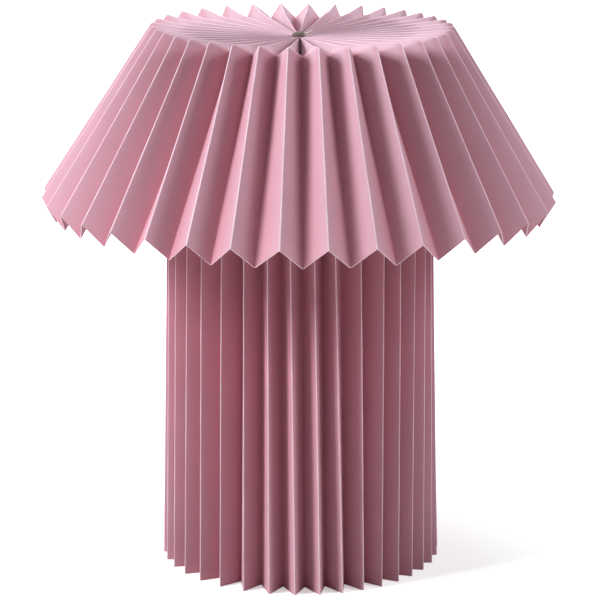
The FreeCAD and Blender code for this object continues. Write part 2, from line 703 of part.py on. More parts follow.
# ---------------------------------------------------------------- lampholder
SHELL_BORE = "(sizes.bulb_thread_radius + sizes.bulb_thread_gap)"
CAP_BORE = "(sizes.holder_radius - sizes.cap_wall)"
CORE_RADIUS = f"({CAP_BORE} - sizes.fit_gap)"


def make_holder():
    cap = turned_piece("holder_cap", [
        ("(sizes.tube_radius + sizes.fit_gap)", "0"), ("sizes.cap_neck_radius", "0"),
        ("sizes.cap_neck_radius", "sizes.cap_neck_height"),
        ("(sizes.holder_radius - sizes.cap_wall)", "sizes.cap_dome_height"),
        ("sizes.holder_radius", "(sizes.cap_dome_height + 2 * sizes.cap_wall)"),
        ("sizes.holder_radius", "sizes.cap_height"), (CAP_BORE, "sizes.cap_height"),
        (CAP_BORE, "sizes.cap_ledge"), ("sizes.cap_ledge_radius", "sizes.cap_ledge"),
        ("sizes.cap_ledge_radius", "sizes.cap_inner_dome"),
        ("sizes.cap_neck_radius", "sizes.cap_floor"),
        ("(sizes.tube_radius + sizes.fit_gap)", "sizes.cap_floor"),
    ], height=HOLDER_BASE)
    screw_level = "(sizes.cap_neck_height / 2)"
    hole = new_sketch(cap, "lock_screw_hole", "XZ_Plane")
    draw_circle(hole, "(sizes.lock_screw_radius + sizes.fit_gap)", y=screw_level)
    cap.Tip = cut(cap, hole, "(sizes.cap_neck_radius + sizes.cut_overrun)", reverse=True)

    screw = doc.addObject("Part::Cylinder", "lock_screw")
    screw.Label = "lock_screw"
    screw.setExpression("Radius", "sizes.lock_screw_radius")
    screw.setExpression("Height", "(sizes.cap_neck_radius - sizes.tube_radius - sizes.fit_gap)")
    screw.Placement = FreeCAD.Placement(
        FreeCAD.Vector(), FreeCAD.Rotation(FreeCAD.Vector(1, 0, 0), 90))
    screw.setExpression(".Placement.Base.y", "(0 - sizes.tube_radius - sizes.fit_gap)")
    lift(screw, f"({HOLDER_BASE} + {screw_level})")

    shell = turned_piece("holder_shell", [
        (CAP_BORE, "0"), ("sizes.holder_radius", "0"), ("sizes.holder_radius", "sizes.flange_base"),
        ("sizes.flange_radius", "sizes.flange_base"),
        ("sizes.flange_radius", "(sizes.flange_base + sizes.flange_thickness)"),
        ("sizes.holder_radius", "(sizes.flange_base + sizes.flange_thickness)"),
        ("sizes.holder_radius", "(sizes.shell_height - sizes.cap_wall)"),
        ("(sizes.holder_radius - sizes.cap_wall)", "sizes.shell_height"),
        (SHELL_BORE, "sizes.shell_height"), (SHELL_BORE, "(sizes.core_above_cap + sizes.fit_gap)"),
        (CAP_BORE, "(sizes.core_above_cap + sizes.fit_gap)"),
    ], height=SHELL_BASE)
    return [cap, screw, shell, make_core()] + make_contacts()


def make_core():
    """Moulded insert that holds the contacts, with two holes for the terminal screws."""
    height = "(sizes.cap_height - sizes.cap_ledge + sizes.core_above_cap)"
    core = new_body("holder_core")
    disc = new_sketch(core, "core_outline")
    draw_circle(disc, CORE_RADIUS)
    pad(core, disc, height)
    holes = new_sketch(core, "terminal_holes")
    draw_circle(holes, "(sizes.terminal_radius + sizes.fit_gap)", x="sizes.terminal_spacing")
    draw_circle(holes, "(sizes.terminal_radius + sizes.fit_gap)", x="(0 - sizes.terminal_spacing)")
    core.Tip = cut(core, holes, "(sizes.terminal_radius * 2)", reverse=True)
    return lift(core, f"({HOLDER_BASE} + sizes.cap_ledge)")


def make_contacts():
    """Sprung centre contact, two side contacts and the terminal screws."""
    thick = "sizes.contact_thickness"
    rise = "sizes.contact_rise"
    reach = "(sizes.bulb_contact_radius * 2)"
    centre = new_body("centre_contact")
    leaf = new_sketch(centre, "leaf_profile", "XZ_Plane", "(0 - sizes.contact_width / 2)")
    draw_profile(leaf, [
        (f"(0 - {reach})", "0"), (f"(0 - {reach} / 2)", "0"),
        ("(0 - sizes.bulb_contact_radius / 2)", f"({rise} - {thick})"),
        ("sizes.bulb_contact_radius", f"({rise} - {thick})"), ("sizes.bulb_contact_radius", rise),
        ("(0 - sizes.bulb_contact_radius / 2)", rise), (f"(0 - {reach} / 2)", thick),
        (f"(0 - {reach})", thick),
    ])
    pad(centre, leaf, "sizes.contact_width")
    lift(centre, CORE_TOP)

    side = new_body("side_contacts")
    strip = new_sketch(side, "strip_profile", "YZ_Plane", "(0 - sizes.side_contact_width / 2)")
    outer = f"sqrt(({SHELL_BORE} - sizes.fit_gap)^2 - (sizes.side_contact_width / 2)^2)"
    inner = f"({SHELL_BORE} - sizes.contact_width)"
    lip = f"({outer} - {thick})"
    draw_profile(strip, [
        (inner, "0"), (outer, "0"), (outer, rise), (lip, rise), (lip, thick), (inner, thick),
    ])
    repeat(side, [pad(side, strip, "sizes.side_contact_width")], "2")
    lift(side, CORE_TOP)

    screws = new_body("terminal_screws")
    heads = new_sketch(screws, "screw_outline")
    draw_circle(heads, "sizes.terminal_radius", x="sizes.terminal_spacing")
    draw_circle(heads, "sizes.terminal_radius", x="(0 - sizes.terminal_spacing)")
    pad(screws, heads, "(sizes.terminal_radius * 2)")
    lift(screws, f"({HOLDER_BASE} + sizes.cap_ledge)")
    return [centre, side, screws]


def make_shade_ring():
    """Threaded collar that clamps the carrier's hub on the lampholder's flange."""
    bore = "(sizes.holder_radius + sizes.fit_gap)"
    return turned_piece("shade_ring", [
        (bore, "0"), ("sizes.ring_radius", "0"), ("sizes.ring_radius", "sizes.ring_step"),
        ("sizes.ring_neck_radius", "(sizes.ring_step + sizes.ring_bevel)"),
        ("sizes.ring_neck_radius", "sizes.ring_height"), (bore, "sizes.ring_height"),
    ], height=RING_BASE)


# ---------------------------------------------------------------- bulb
def make_bulb():
    contact_top = "sizes.bulb_contact_height"
    cap_base = f"({contact_top} + sizes.insulator_height)"
    housing_base = f"({cap_base} + sizes.bulb_cap_height)"
    globe_base = f"({housing_base} + sizes.housing_height)"
    pin = "sizes.bulb_pin_radius"
    socket = f"({pin} + sizes.fit_gap)"
    wall = "sizes.housing_wall"
    thread = "sizes.bulb_thread_radius"

    contact = turned_piece("bulb_contact", [
        ("0", "0"), ("sizes.bulb_contact_radius", "0"),
        ("sizes.bulb_contact_radius", f"({contact_top} - sizes.fit_gap)"),
        (pin, f"({contact_top} - sizes.fit_gap)"),
        (pin, f"({contact_top} + sizes.insulator_height / 2)"),
        ("0", f"({contact_top} + sizes.insulator_height / 2)"),
    ], height=BULB_BASE)
    insulator = turned_piece("bulb_insulator", [
        (socket, contact_top), ("sizes.insulator_tip_radius", contact_top),
        ("sizes.insulator_radius", cap_base), ("0", cap_base),
        ("0", f"({cap_base} - sizes.insulator_height / 2 + sizes.fit_gap)"),
        (socket, f"({cap_base} - sizes.insulator_height / 2 + sizes.fit_gap)"),
    ], height=BULB_BASE)
    cap = turned_piece("bulb_cap", [
        ("0", cap_base), ("sizes.insulator_radius", cap_base),
        (thread, f"({cap_base} + sizes.insulator_height / 2)"),
        (thread, f"({housing_base} - sizes.bulb_cap_lip)"),
        ("sizes.bulb_neck_radius", housing_base), ("0", housing_base),
    ], height=BULB_BASE)
    housing = turned_piece("bulb_housing", [
        ("0", housing_base), ("sizes.bulb_neck_radius", housing_base),
        ("sizes.housing_neck_radius", f"({housing_base} + sizes.housing_neck_height)"),
        ("sizes.housing_waist_radius", f"({housing_base} + sizes.housing_waist_height)"),
        ("sizes.housing_shoulder_radius", f"({housing_base} + sizes.housing_shoulder_height)"),
        ("sizes.globe_rim_radius", globe_base), (f"(sizes.globe_rim_radius - {wall})", globe_base),
        (f"(sizes.globe_rim_radius - {wall})", f"({globe_base} - {wall})"),
        ("0", f"({globe_base} - {wall})"),
    ], height=BULB_BASE)
    board = turned_piece("bulb_led_board", [
        ("0", f"({globe_base} - {wall})"), ("sizes.board_radius", f"({globe_base} - {wall})"),
        ("sizes.board_radius", f"({globe_base} - {wall} + sizes.board_thickness)"),
        ("0", f"({globe_base} - {wall} + sizes.board_thickness)"),
    ], height=BULB_BASE)
    globe = turned_piece("bulb_globe", [
        ("(sizes.globe_rim_radius - sizes.globe_wall)", globe_base),
        ("sizes.globe_rim_radius", globe_base), ("0", f"({globe_base} + sizes.globe_height)"),
        ("0", f"({globe_base} + sizes.globe_height - sizes.globe_wall)"),
    ], arcs=(1, 3), height=BULB_BASE)
    return [contact, insulator, cap, housing, board, globe]


# ---------------------------------------------------------------- build, check and write
pieces = make_base() + make_stem() + make_spiders() + make_holder() + [make_shade_ring()]
pieces += make_bulb() + [make_column_paper(), make_shade_paper(), make_gather_cord()]
doc.recompute()

for item in doc.Objects:
    if {"Invalid", "Error"} & set(item.State):
        raise RuntimeError(f"{item.Label} did not compute: {item.State}")
for piece in pieces:
    if piece.Shape.isNull() or not piece.Shape.isValid():
        raise RuntimeError(f"{piece.Label} has no valid shape")

for piece in pieces:
    piece.Shape.exportStep(f"parts/{piece.Label}.step")
    box = piece.Shape.BoundBox
    print(f"{piece.Label:16s} solids {len(piece.Shape.Solids):2d}  volume {piece.Shape.Volume:10.1f}"
          f"  z {box.ZMin:7.2f} to {box.ZMax:7.2f}  radius {box.XMax:7.2f}")
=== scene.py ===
"""Pleated paper table lamp: the looks of its paper, cord, fittings and bulb.

Lengths are in metres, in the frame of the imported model: +Z up, the lamp's front towards -Y.
Angles round the lamp start at the front and grow towards +X.
"""
import math
import random
from collections import namedtuple

import bpy
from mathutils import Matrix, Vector, kdtree, noise


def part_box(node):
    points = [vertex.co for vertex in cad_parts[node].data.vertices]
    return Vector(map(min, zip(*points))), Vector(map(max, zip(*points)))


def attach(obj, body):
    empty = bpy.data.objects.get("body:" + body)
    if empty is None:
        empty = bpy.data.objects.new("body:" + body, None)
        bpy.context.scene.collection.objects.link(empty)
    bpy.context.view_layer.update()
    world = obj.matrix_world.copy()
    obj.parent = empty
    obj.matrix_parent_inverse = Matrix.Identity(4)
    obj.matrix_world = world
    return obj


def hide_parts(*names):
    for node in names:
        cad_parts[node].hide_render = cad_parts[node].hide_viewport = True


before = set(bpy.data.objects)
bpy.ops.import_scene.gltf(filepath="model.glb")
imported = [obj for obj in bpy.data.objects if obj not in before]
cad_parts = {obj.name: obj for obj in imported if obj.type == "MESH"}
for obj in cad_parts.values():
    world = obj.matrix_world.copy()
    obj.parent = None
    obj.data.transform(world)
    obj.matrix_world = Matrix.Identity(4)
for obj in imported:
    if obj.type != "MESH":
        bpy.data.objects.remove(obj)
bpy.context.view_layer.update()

bl_info = {
    "name": "Pleated paper table lamp",
    "version": (1, 0, 0),
    "blender": (4, 5, 0),
    "location": "3D View > Sidebar > Paper lamp",
    "description": "Folds the lamp's paper, ties its cord and gives every fitting its finish",
    "category": "Add Mesh",
}

MM = 0.001
WHITE = (1.0, 1.0, 1.0, 1.0)
COORDS = "paper_mm"  # attribute on the paper: millimetres across the folds, and along them


# ---------------------------------------------------------------- colours and nodes
def linear(hex_colour):
    """Turns an sRGB hex colour into linear red, green, blue and full alpha."""
    def channel(text):
        part = int(text, 16) / 255
        return part / 12.92 if part <= 0.04045 else ((part + 0.055) / 1.055) ** 2.4
    digits = hex_colour.lstrip("#")
    return (*[channel(digits[i:i + 2]) for i in (0, 2, 4)], 1.0)


def shade_of(colour, factor):
    """The same colour, lighter or darker by a factor."""
    return (*[min(1.0, part * factor) for part in colour[:3]], 1.0)


def add(tree, kind, links=None, **settings):
    """Adds a node: settings set its properties, links feed its inputs from sockets or values."""
    node = tree.nodes.new(kind)
    for name, setting in settings.items():
        setattr(node, name, setting)
    for name, source in (links or {}).items():
        if isinstance(source, bpy.types.NodeSocket):
            tree.links.new(source, node.inputs[name])
        else:
            node.inputs[name].default_value = source
    return node


def new_finish(name):
    """An empty material with its shader and output joined; returns material, tree and shader."""
    material = bpy.data.materials.new(name)
    material.use_nodes = True
    tree = material.node_tree
    tree.nodes.clear()
    shader = add(tree, "ShaderNodeBsdfPrincipled")
    add(tree, "ShaderNodeOutputMaterial", {"Surface": shader.outputs["BSDF"]})
    return material, tree, shader


def per_metre(size_mm):
    """Scale of a pattern whose repeat is size_mm, on coordinates in metres."""
    return 1 / (size_mm * MM)


def speckle(tree, where, size_mm, detail=3.0):
    """Cloudy pattern whose patches are about size_mm wide; where is in metres."""
    return add(tree, "ShaderNodeTexNoise", {
        "Vector": where, "Scale": per_metre(size_mm), "Detail": detail}).outputs["Fac"]


def two_tone(tree, mask, low, high, low_at=0.0, high_at=1.0):
    """Colour that goes from low to high as the mask goes from low_at to high_at."""
    ramp = add(tree, "ShaderNodeValToRGB", {"Fac": mask})
    ramp.color_ramp.elements[0].color = low
    ramp.color_ramp.elements[0].position = low_at
    ramp.color_ramp.elements[1].color = high
    ramp.color_ramp.elements[1].position = high_at
    return ramp.outputs["Color"]


def span(tree, mask, low, high):
    """Number that goes from low to high as the mask goes from 0 to 1."""
    return add(tree, "ShaderNodeMapRange", {
        "Value": mask, "To Min": low, "To Max": high}).outputs["Result"]


def relief(tree, shader, height, depth_mm, strength=1.0):
    """Bumps the shader's surface by height, whose full range is depth_mm."""
    bump = add(tree, "ShaderNodeBump", {
        "Height": height, "Distance": depth_mm * MM, "Strength": strength})
    tree.links.new(bump.outputs["Normal"], shader.inputs["Normal"])


def object_place(tree):
    return add(tree, "ShaderNodeTexCoord").outputs["Object"]


# ---------------------------------------------------------------- properties
class PaperLampSheets(bpy.types.PropertyGroup):
    """Sizes of the two pleated sheets."""
    pleats: bpy.props.IntProperty(
        name="Pleats", description="Ridges round each sheet", default=35, min=6)
    thickness: bpy.props.FloatProperty(
        name="Paper thickness", description="Caliper of the folding paper",
        default=0.4 * MM, unit="LENGTH")
    crease: bpy.props.FloatProperty(
        name="Crease", description="Half the width of paper that a fold line bends",
        default=0.9 * MM, unit="LENGTH")
    skirt_radius: bpy.props.FloatProperty(
        name="Skirt radius", description="Ridge tips at the shade's lower edge",
        default=165 * MM, unit="LENGTH")
    skirt_depth: bpy.props.FloatProperty(
        name="Skirt fold depth", description="How far the valley tips stand inside the ridge tips",
        default=7.4 * MM, unit="LENGTH")
    skirt_dip: bpy.props.FloatProperty(
        name="Skirt fold dip", description="How far the valley tips hang below the ridge tips",
        default=12.7 * MM, unit="LENGTH")
    rim_radius: bpy.props.FloatProperty(
        name="Rim radius", description="Ridge corners where the shade turns from deck to skirt",
        default=95.7 * MM, unit="LENGTH")
    rim_depth: bpy.props.FloatProperty(
        name="Rim fold depth", description="How far the valley corners stand inside the ridges",
        default=14.7 * MM, unit="LENGTH")
    rim_dip: bpy.props.FloatProperty(
        name="Rim fold dip", description="How far the valley corners lie below the ridges",
        default=6.7 * MM, unit="LENGTH")
    rim_ease: bpy.props.FloatProperty(
        name="Rim easing", description="Half the length of ridge that bends over the rim",
        default=1.8 * MM, unit="LENGTH")
    tuck_radius: bpy.props.FloatProperty(
        name="Tuck radius", description="Where the rise from the shoulder ends, under the rim",
        default=77 * MM, unit="LENGTH")
    tuck_fold: bpy.props.FloatProperty(
        name="Tuck fold depth", description="Depth of the folds at the tuck radius",
        default=7.0 * MM, unit="LENGTH")
    shoulder_radius: bpy.props.FloatProperty(
        name="Shoulder radius", description="Where the deck's deep folds tuck up to the rim",
        default=66 * MM, unit="LENGTH")
    deck_radius: bpy.props.FloatProperty(
        name="Deck station radius", description="Where the deck's folds start to crowd",
        default=24 * MM, unit="LENGTH")
    deck_fold: bpy.props.FloatProperty(
        name="Deck fold depth", description="Depth of the deck's folds, hub to shoulder",
        default=17.0 * MM, unit="LENGTH")
    hub_radius: bpy.props.FloatProperty(
        name="Hub radius", description="Hole in the middle of the deck",
        default=5.2 * MM, unit="LENGTH")
    hub_sink: bpy.props.FloatProperty(
        name="Hub sink", description="How far the deck's ridges fall towards the hub",
        default=6.0 * MM, unit="LENGTH")
    foot_radius: bpy.props.FloatProperty(
        name="Column foot radius", description="Ridges of the column at the floor",
        default=91 * MM, unit="LENGTH")
    foot_depth: bpy.props.FloatProperty(
        name="Column foot fold depth", description="Depth of the column's folds at the floor",
        default=15.8 * MM, unit="LENGTH")
    mouth_radius: bpy.props.FloatProperty(
        name="Column mouth radius", description="Ridges of the column at its upper edge",
        default=85.2 * MM, unit="LENGTH")
    mouth_depth: bpy.props.FloatProperty(
        name="Column mouth fold depth", description="Depth of the column's folds at its mouth",
        default=15.9 * MM, unit="LENGTH")


class PaperLampColours(bpy.types.PropertyGroup):
    """Colours of the paper and the cord."""
    # the next two colours are one paper: the first down in the folds, as painted shade, the
    # second, paler, on the ridges, the shade's deck and the column's foot, as painted light
    paper: bpy.props.FloatVectorProperty(
        name="Paper", description="Dyed paper, deep in the folds", subtype="COLOR", size=4,
        default=linear("#B97380"), min=0, max=1)
    paper_painted_light: bpy.props.FloatVectorProperty(
        name="Faded paper", description="Dyed paper where light and hands have dulled it",
        subtype="COLOR", size=4, default=linear("#C49CA7"), min=0, max=1)
    paper_worn: bpy.props.FloatVectorProperty(
        name="Worn crease", description="Paper where a ridge has rubbed and cracked",
        subtype="COLOR", size=4, default=linear("#EBD2DA"), min=0, max=1)
    paper_core: bpy.props.FloatVectorProperty(
        name="Cut edge", description="The paper's pale core at its cut edges",
        subtype="COLOR", size=4, default=linear("#F1DCE0"), min=0, max=1)
    # the next two colours: a dark grey-brown cotton for the loop and whipping, and a pale cream
    # one for the cut tails
    cord: bpy.props.FloatVectorProperty(
        name="Cord", description="Twisted cotton", subtype="COLOR", size=4,
        default=linear("#7E6A62"), min=0, max=1)
    cord_tail: bpy.props.FloatVectorProperty(
        name="Cord tail", description="Cotton where the cut ends open and are cleaner",
        subtype="COLOR", size=4, default=linear("#D5C2B8"), min=0, max=1)


class PaperLampStage(bpy.types.PropertyGroup):
    """Where the camera stands and how bright the studio is."""
    camera_distance: bpy.props.FloatProperty(
        name="Camera distance", description="From the lamp's axis", default=1.655, unit="LENGTH")
    camera_height: bpy.props.FloatProperty(
        name="Camera height", description="Above the floor", default=0.5895, unit="LENGTH")
    camera_tilt: bpy.props.FloatProperty(
        name="Camera tilt", description="Below the level", default=math.radians(14.25),
        unit="ROTATION")
    lens: bpy.props.FloatProperty(
        name="Lens", description="Focal length on a sensor 36 mm wide", default=157.98,
        unit="CAMERA")
    key: bpy.props.FloatProperty(
        name="Key light", description="Softbox high at the left front", default=84.0, unit="POWER")
    fill: bpy.props.FloatProperty(
        name="Fill light", description="Softbox at the right", default=35.0, unit="POWER")
    top: bpy.props.FloatProperty(
        name="Top light", description="Softbox above", default=32.0, unit="POWER")
    front: bpy.props.FloatProperty(
        name="Front light", description="Broad softbox above the camera", default=3.0,
        unit="POWER")
    room: bpy.props.FloatProperty(
        name="Room light", description="Even light from all round", default=0.03)


# ---------------------------------------------------------------- finishes
def dyed_folding_paper(colours, panel_mm, gathered_mm, worn_mm, painted_light_span_mm, painted_light_levels):
    """Uncoated text-weight paper, dyed in the pulp and scored: matt, faintly mottled, with fibres
    just visible.  Its ridges are pale where folding has cracked the dyed surface.  Its colour is
    painted deep down in the folds and paler out towards the ridges: painted shade and painted
    light.

    gathered_mm: the length from the sheet's start in which the folds crowd and don't rub.
    worn_mm: how far from the fold line a ridge is rubbed pale.
    painted_light_span_mm: lengths along the sheet between which its ridges' painted light changes.
    painted_light_levels: the ridges' painted light before the first length and past the second.
    """
    material, tree, shader = new_finish("dyed folding paper")
    place = add(tree, "ShaderNodeAttribute", attribute_name=COORDS).outputs["Vector"]
    metres = add(tree, "ShaderNodeVectorMath", {0: place, "Scale": MM},
                 operation="SCALE").outputs["Vector"]
    parts = add(tree, "ShaderNodeSeparateXYZ", {"Vector": place}).outputs
    from_valley = add(tree, "ShaderNodeMath", {0: parts["X"], 1: panel_mm},
                      operation="PINGPONG").outputs["Value"]
    # cracks are a millimetre or so apart, and deeper in the stretches that hands have pressed
    crack = speckle(tree, metres, 1.4, detail=2)
    handled = speckle(tree, metres, 26, detail=1)
    ridge = add(tree, "ShaderNodeMapRange", {
        "Value": from_valley, "From Min": panel_mm - 2 * worn_mm,
        "From Max": panel_mm - 0.35 * worn_mm}).outputs["Result"]
    rubbed = add(tree, "ShaderNodeMath", {0: ridge, 1: span(tree, crack, 0.5, 1.0)},
                 operation="MULTIPLY").outputs["Value"]
    rubbed = add(tree, "ShaderNodeMath", {0: rubbed, 1: span(tree, handled, 0.3, 1.3)},
                 operation="MULTIPLY", use_clamp=True).outputs["Value"]
    free = add(tree, "ShaderNodeMapRange", {
        "Value": parts["Y"], "From Min": 0.5 * gathered_mm - 1.0,
        "From Max": gathered_mm}).outputs["Result"]
    worn = add(tree, "ShaderNodeMath", {0: rubbed, 1: free}, operation="MULTIPLY").outputs["Value"]
    # the pulp took the dye unevenly: wide clouds, and a grain of about a millimetre
    mottle = span(tree, speckle(tree, metres, 22, detail=4), 0.0, 0.5)
    grain = add(tree, "ShaderNodeMath", {0: speckle(tree, metres, 1.1, detail=2), 1: 0.5,
                                         2: mottle}, operation="MULTIPLY_ADD").outputs["Value"]
    painted_light_curve = 0.6  # below 1: light reaches most of a panel and only misses its valley
    out_of_fold = add(tree, "ShaderNodeMath", {0: from_valley, 1: 1 / panel_mm},
                      operation="MULTIPLY").outputs["Value"]
    share = add(tree, "ShaderNodeMath", {0: out_of_fold, 1: painted_light_curve},
                operation="POWER").outputs["Value"]
    # painted light along the sheet: more on the shade's deck than on its skirt, and more at the
    # column's foot than up under the shade, where it is painted shadow
    painted_light_along = add(tree, "ShaderNodeMapRange", {
        "Value": parts["Y"], "From Min": painted_light_span_mm[0], "From Max": painted_light_span_mm[1],
        "To Min": painted_light_levels[0], "To Max": painted_light_levels[1]}).outputs["Result"]
    painted_light_share = add(tree, "ShaderNodeMath", {0: painted_light_along, 1: share}, operation="MULTIPLY",
                use_clamp=True).outputs["Value"]
    # deep colour in the valleys as painted shade, paler towards the ridges as painted light
    dye = add(tree, "ShaderNodeMix", {"Factor": painted_light_share, 6: colours.paper,
                                      7: colours.paper_painted_light}, data_type="RGBA").outputs[2]
    cloud = two_tone(tree, grain, shade_of(WHITE, 0.94), WHITE, 0.38, 0.62)
    pulp = add(tree, "ShaderNodeMix", {"Factor": 1.0, 6: dye, 7: cloud}, data_type="RGBA",
               blend_type="MULTIPLY").outputs[2]
    skin = add(tree, "ShaderNodeMix", {"Factor": worn, 6: pulp, 7: colours.paper_worn},
               data_type="RGBA").outputs[2]
    tree.links.new(skin, shader.inputs["Base Color"])
    fibre_mm = 0.8  # real fibres are about 0.03 mm wide, and are drawn coarser so that they show
    fibres = add(tree, "ShaderNodeTexNoise", {"Vector": metres, "Scale": per_metre(fibre_mm),
                                              "Detail": 4.0, "Roughness": 0.65}).outputs["Fac"]
    tree.links.new(span(tree, fibres, 0.55, 0.75), shader.inputs["Roughness"])
    shader.inputs["IOR"].default_value = 1.48
    shader.inputs["Specular IOR Level"].default_value = 0.3
    shader.inputs["Sheen Weight"].default_value = 0.04
    shader.inputs["Sheen Roughness"].default_value = 0.5
    relief(tree, shader, fibres, 0.05, 0.5)
    return material


def cut_paper_edge(colours):
    """Guillotined edge of dyed paper: the pale core shows, with a fine fibrous tooth."""
    material, tree, shader = new_finish("cut paper edge")
    place = object_place(tree)
    tooth = speckle(tree, place, 0.6)
    tree.links.new(two_tone(tree, tooth, shade_of(colours.paper_core, 0.85), colours.paper_core,
                            0.3, 0.7), shader.inputs["Base Color"])
    shader.inputs["Roughness"].default_value = 0.92
    shader.inputs["Specular IOR Level"].default_value = 0.25
    relief(tree, shader, tooth, 0.05, 0.6)
    return material


def twisted_cotton(colour):
    """Spun cotton yarn: soft, matt, with pale fibre ends standing out of the twist."""
    material, tree, shader = new_finish("twisted cotton")
    place = object_place(tree)
    fibres = speckle(tree, place, 0.25, detail=5)
    tree.links.new(two_tone(tree, fibres, shade_of(colour, 0.55), shade_of(colour, 1.35),
                            0.3, 0.7), shader.inputs["Base Color"])
    shader.inputs["Roughness"].default_value = 0.95
    shader.inputs["Sheen Weight"].default_value = 0.35
    relief(tree, shader, fibres, 0.12, 0.8)
    return material


def pressed_felt():
    """Pressed wool-mix felt: matted fibres, lint, no shine."""
    material, tree, shader = new_finish("pressed felt")
    place = object_place(tree)
    mat = speckle(tree, place, 1.1, detail=6)
    lint = speckle(tree, place, 6, detail=2)
    tone = add(tree, "ShaderNodeMath", {0: mat, 1: lint}, operation="MULTIPLY").outputs["Value"]
    tree.links.new(two_tone(tree, tone, linear("#1B1B1C"), linear("#4A494A"), 0.12, 0.42),
                   shader.inputs["Base Color"])
    shader.inputs["Roughness"].default_value = 1.0
    shader.inputs["Sheen Weight"].default_value = 0.5
    relief(tree, shader, mat, 0.5, 0.9)
    return material


def coat(tree, shader, tone, low, high, at, grain, rough, depth_mm, strength):
    """Gives a shader the colours low and high where the tone passes the two levels in at, and a
    roughness and a relief that follow the grain.
    """
    tree.links.new(two_tone(tree, tone, low, high, *at), shader.inputs["Base Color"])
    tree.links.new(span(tree, grain, *rough), shader.inputs["Roughness"])
    relief(tree, shader, grain, depth_mm, strength)


def powder_coat(name, hex_colour):
    """Polyester powder coat baked on steel: even colour, satin, with a fine orange peel."""
    material, tree, shader = new_finish(name)
    place = object_place(tree)
    peel = speckle(tree, place, 1.6, detail=2)
    dust = speckle(tree, place, 14, detail=4)
    colour = linear(hex_colour)
    coat(tree, shader, dust, shade_of(colour, 0.93), colour, (0.35, 0.6), peel, (0.32, 0.5),
         0.06, 0.6)
    return material


def zinc_plate():
    """Bright zinc on turned steel: grey metal with faint turning lines and dull patches."""
    material, tree, shader = new_finish("zinc plate")
    place = object_place(tree)
    patches = speckle(tree, place, 3, detail=4)
    stretched = add(tree, "ShaderNodeMapping", {
        "Vector": place, "Scale": (1.0, 1.0, 12.0)}).outputs["Vector"]
    lines = speckle(tree, stretched, 2.5, detail=2)
    tree.links.new(two_tone(tree, patches, linear("#A9ABAE"), linear("#C9CBCD"), 0.35, 0.65),
                   shader.inputs["Base Color"])
    shader.inputs["Metallic"].default_value = 1.0
    tree.links.new(span(tree, patches, 0.28, 0.5), shader.inputs["Roughness"])
    relief(tree, shader, lines, 0.03, 0.5)
    return material


def moulded_plastic(name, hex_colour, gloss):
    """Injection-moulded plastic: even colour, slight flow marks, fine spark-eroded texture."""
    material, tree, shader = new_finish(name)
    place = object_place(tree)
    spark = speckle(tree, place, 0.7, detail=2)
    flow = speckle(tree, place, 18, detail=1)
    colour = linear(hex_colour)
    coat(tree, shader, flow, shade_of(colour, 0.94), colour, (0.35, 0.65), spark,
         (gloss, gloss + 0.14), 0.03, 0.5)
    shader.inputs["IOR"].default_value = 1.49
    return material


def moulded_steatite():
    """Pressed and fired steatite: cream, dense, dull, with small dark grains."""
    material, tree, shader = new_finish("moulded steatite")
    grains = add(tree, "ShaderNodeTexVoronoi", {
        "Vector": object_place(tree), "Scale": per_metre(1.2)}).outputs["Distance"]
    coat(tree, shader, grains, linear("#B4AB97"), linear("#DDD6C6"), (0.02, 0.16), grains,
         (0.5, 0.62), 0.04, 0.4)
    return material


def spring_brass():
    """Stamped spring brass: yellow metal, rolled lines, a little brown tarnish."""
    material, tree, shader = new_finish("spring brass")
    tarnish = speckle(tree, object_place(tree), 2.4, detail=5)
    coat(tree, shader, tarnish, linear("#8C6A34"), linear("#D9B566"), (0.3, 0.55), tarnish,
         (0.45, 0.22), 0.02, 0.4)
    shader.inputs["Metallic"].default_value = 1.0
    return material


def solder_button():
    """Soft solder, melted and frozen: grey, dimpled, half dull."""
    material, tree, shader = new_finish("solder button")
    dimples = speckle(tree, object_place(tree), 1.2, detail=3)
    coat(tree, shader, dimples, linear("#8E9092"), linear("#C4C6C8"), (0.35, 0.65), dimples,
         (0.5, 0.3), 0.15, 0.7)
    shader.inputs["Metallic"].default_value = 1.0
    return material


def vitreous_insulator():
    """Black glass cast round the bulb's contact: deep, glossy, with slight waves."""
    material, tree, shader = new_finish("vitreous insulator")
    waves = speckle(tree, object_place(tree), 4, detail=2)
    coat(tree, shader, waves, linear("#08080A"), linear("#1A1A20"), (0.3, 0.7), waves,
         (0.06, 0.18), 0.1, 0.4)
    shader.inputs["IOR"].default_value = 1.52
    return material


def nickelled_brass():
    """Thin nickel over drawn brass: pale warm metal, scuffed round it where it screws in."""
    material, tree, shader = new_finish("nickelled brass")
    scuffs = add(tree, "ShaderNodeMapping", {
        "Vector": object_place(tree), "Scale": (1.0, 1.0, 9.0)}).outputs["Vector"]
    marks = speckle(tree, scuffs, 2.0, detail=5)
    coat(tree, shader, marks, linear("#A8A49C"), linear("#D2D0CA"), (0.35, 0.6), marks,
         (0.34, 0.16), 0.02, 0.4)
    shader.inputs["Metallic"].default_value = 1.0
    return material


def lacquered_board():
    """White solder-resist lacquer over an aluminium circuit board, with square yellow chips."""
    material, tree, shader = new_finish("lacquered board")
    place = object_place(tree)
    chips = add(tree, "ShaderNodeTexBrick", {
        "Vector": place, "Color1": linear("#E8D98A"), "Color2": linear("#E2D07C"),
        "Mortar": linear("#F1F1EC"), "Scale": per_metre(1.0) / 7, "Mortar Size": 0.26,
        "Brick Width": 0.9, "Row Height": 0.9}, offset=0.0).outputs["Color"]
    tree.links.new(chips, shader.inputs["Base Color"])
    grain = speckle(tree, place, 2.0)
    tree.links.new(span(tree, grain, 0.3, 0.45), shader.inputs["Roughness"])
    return material


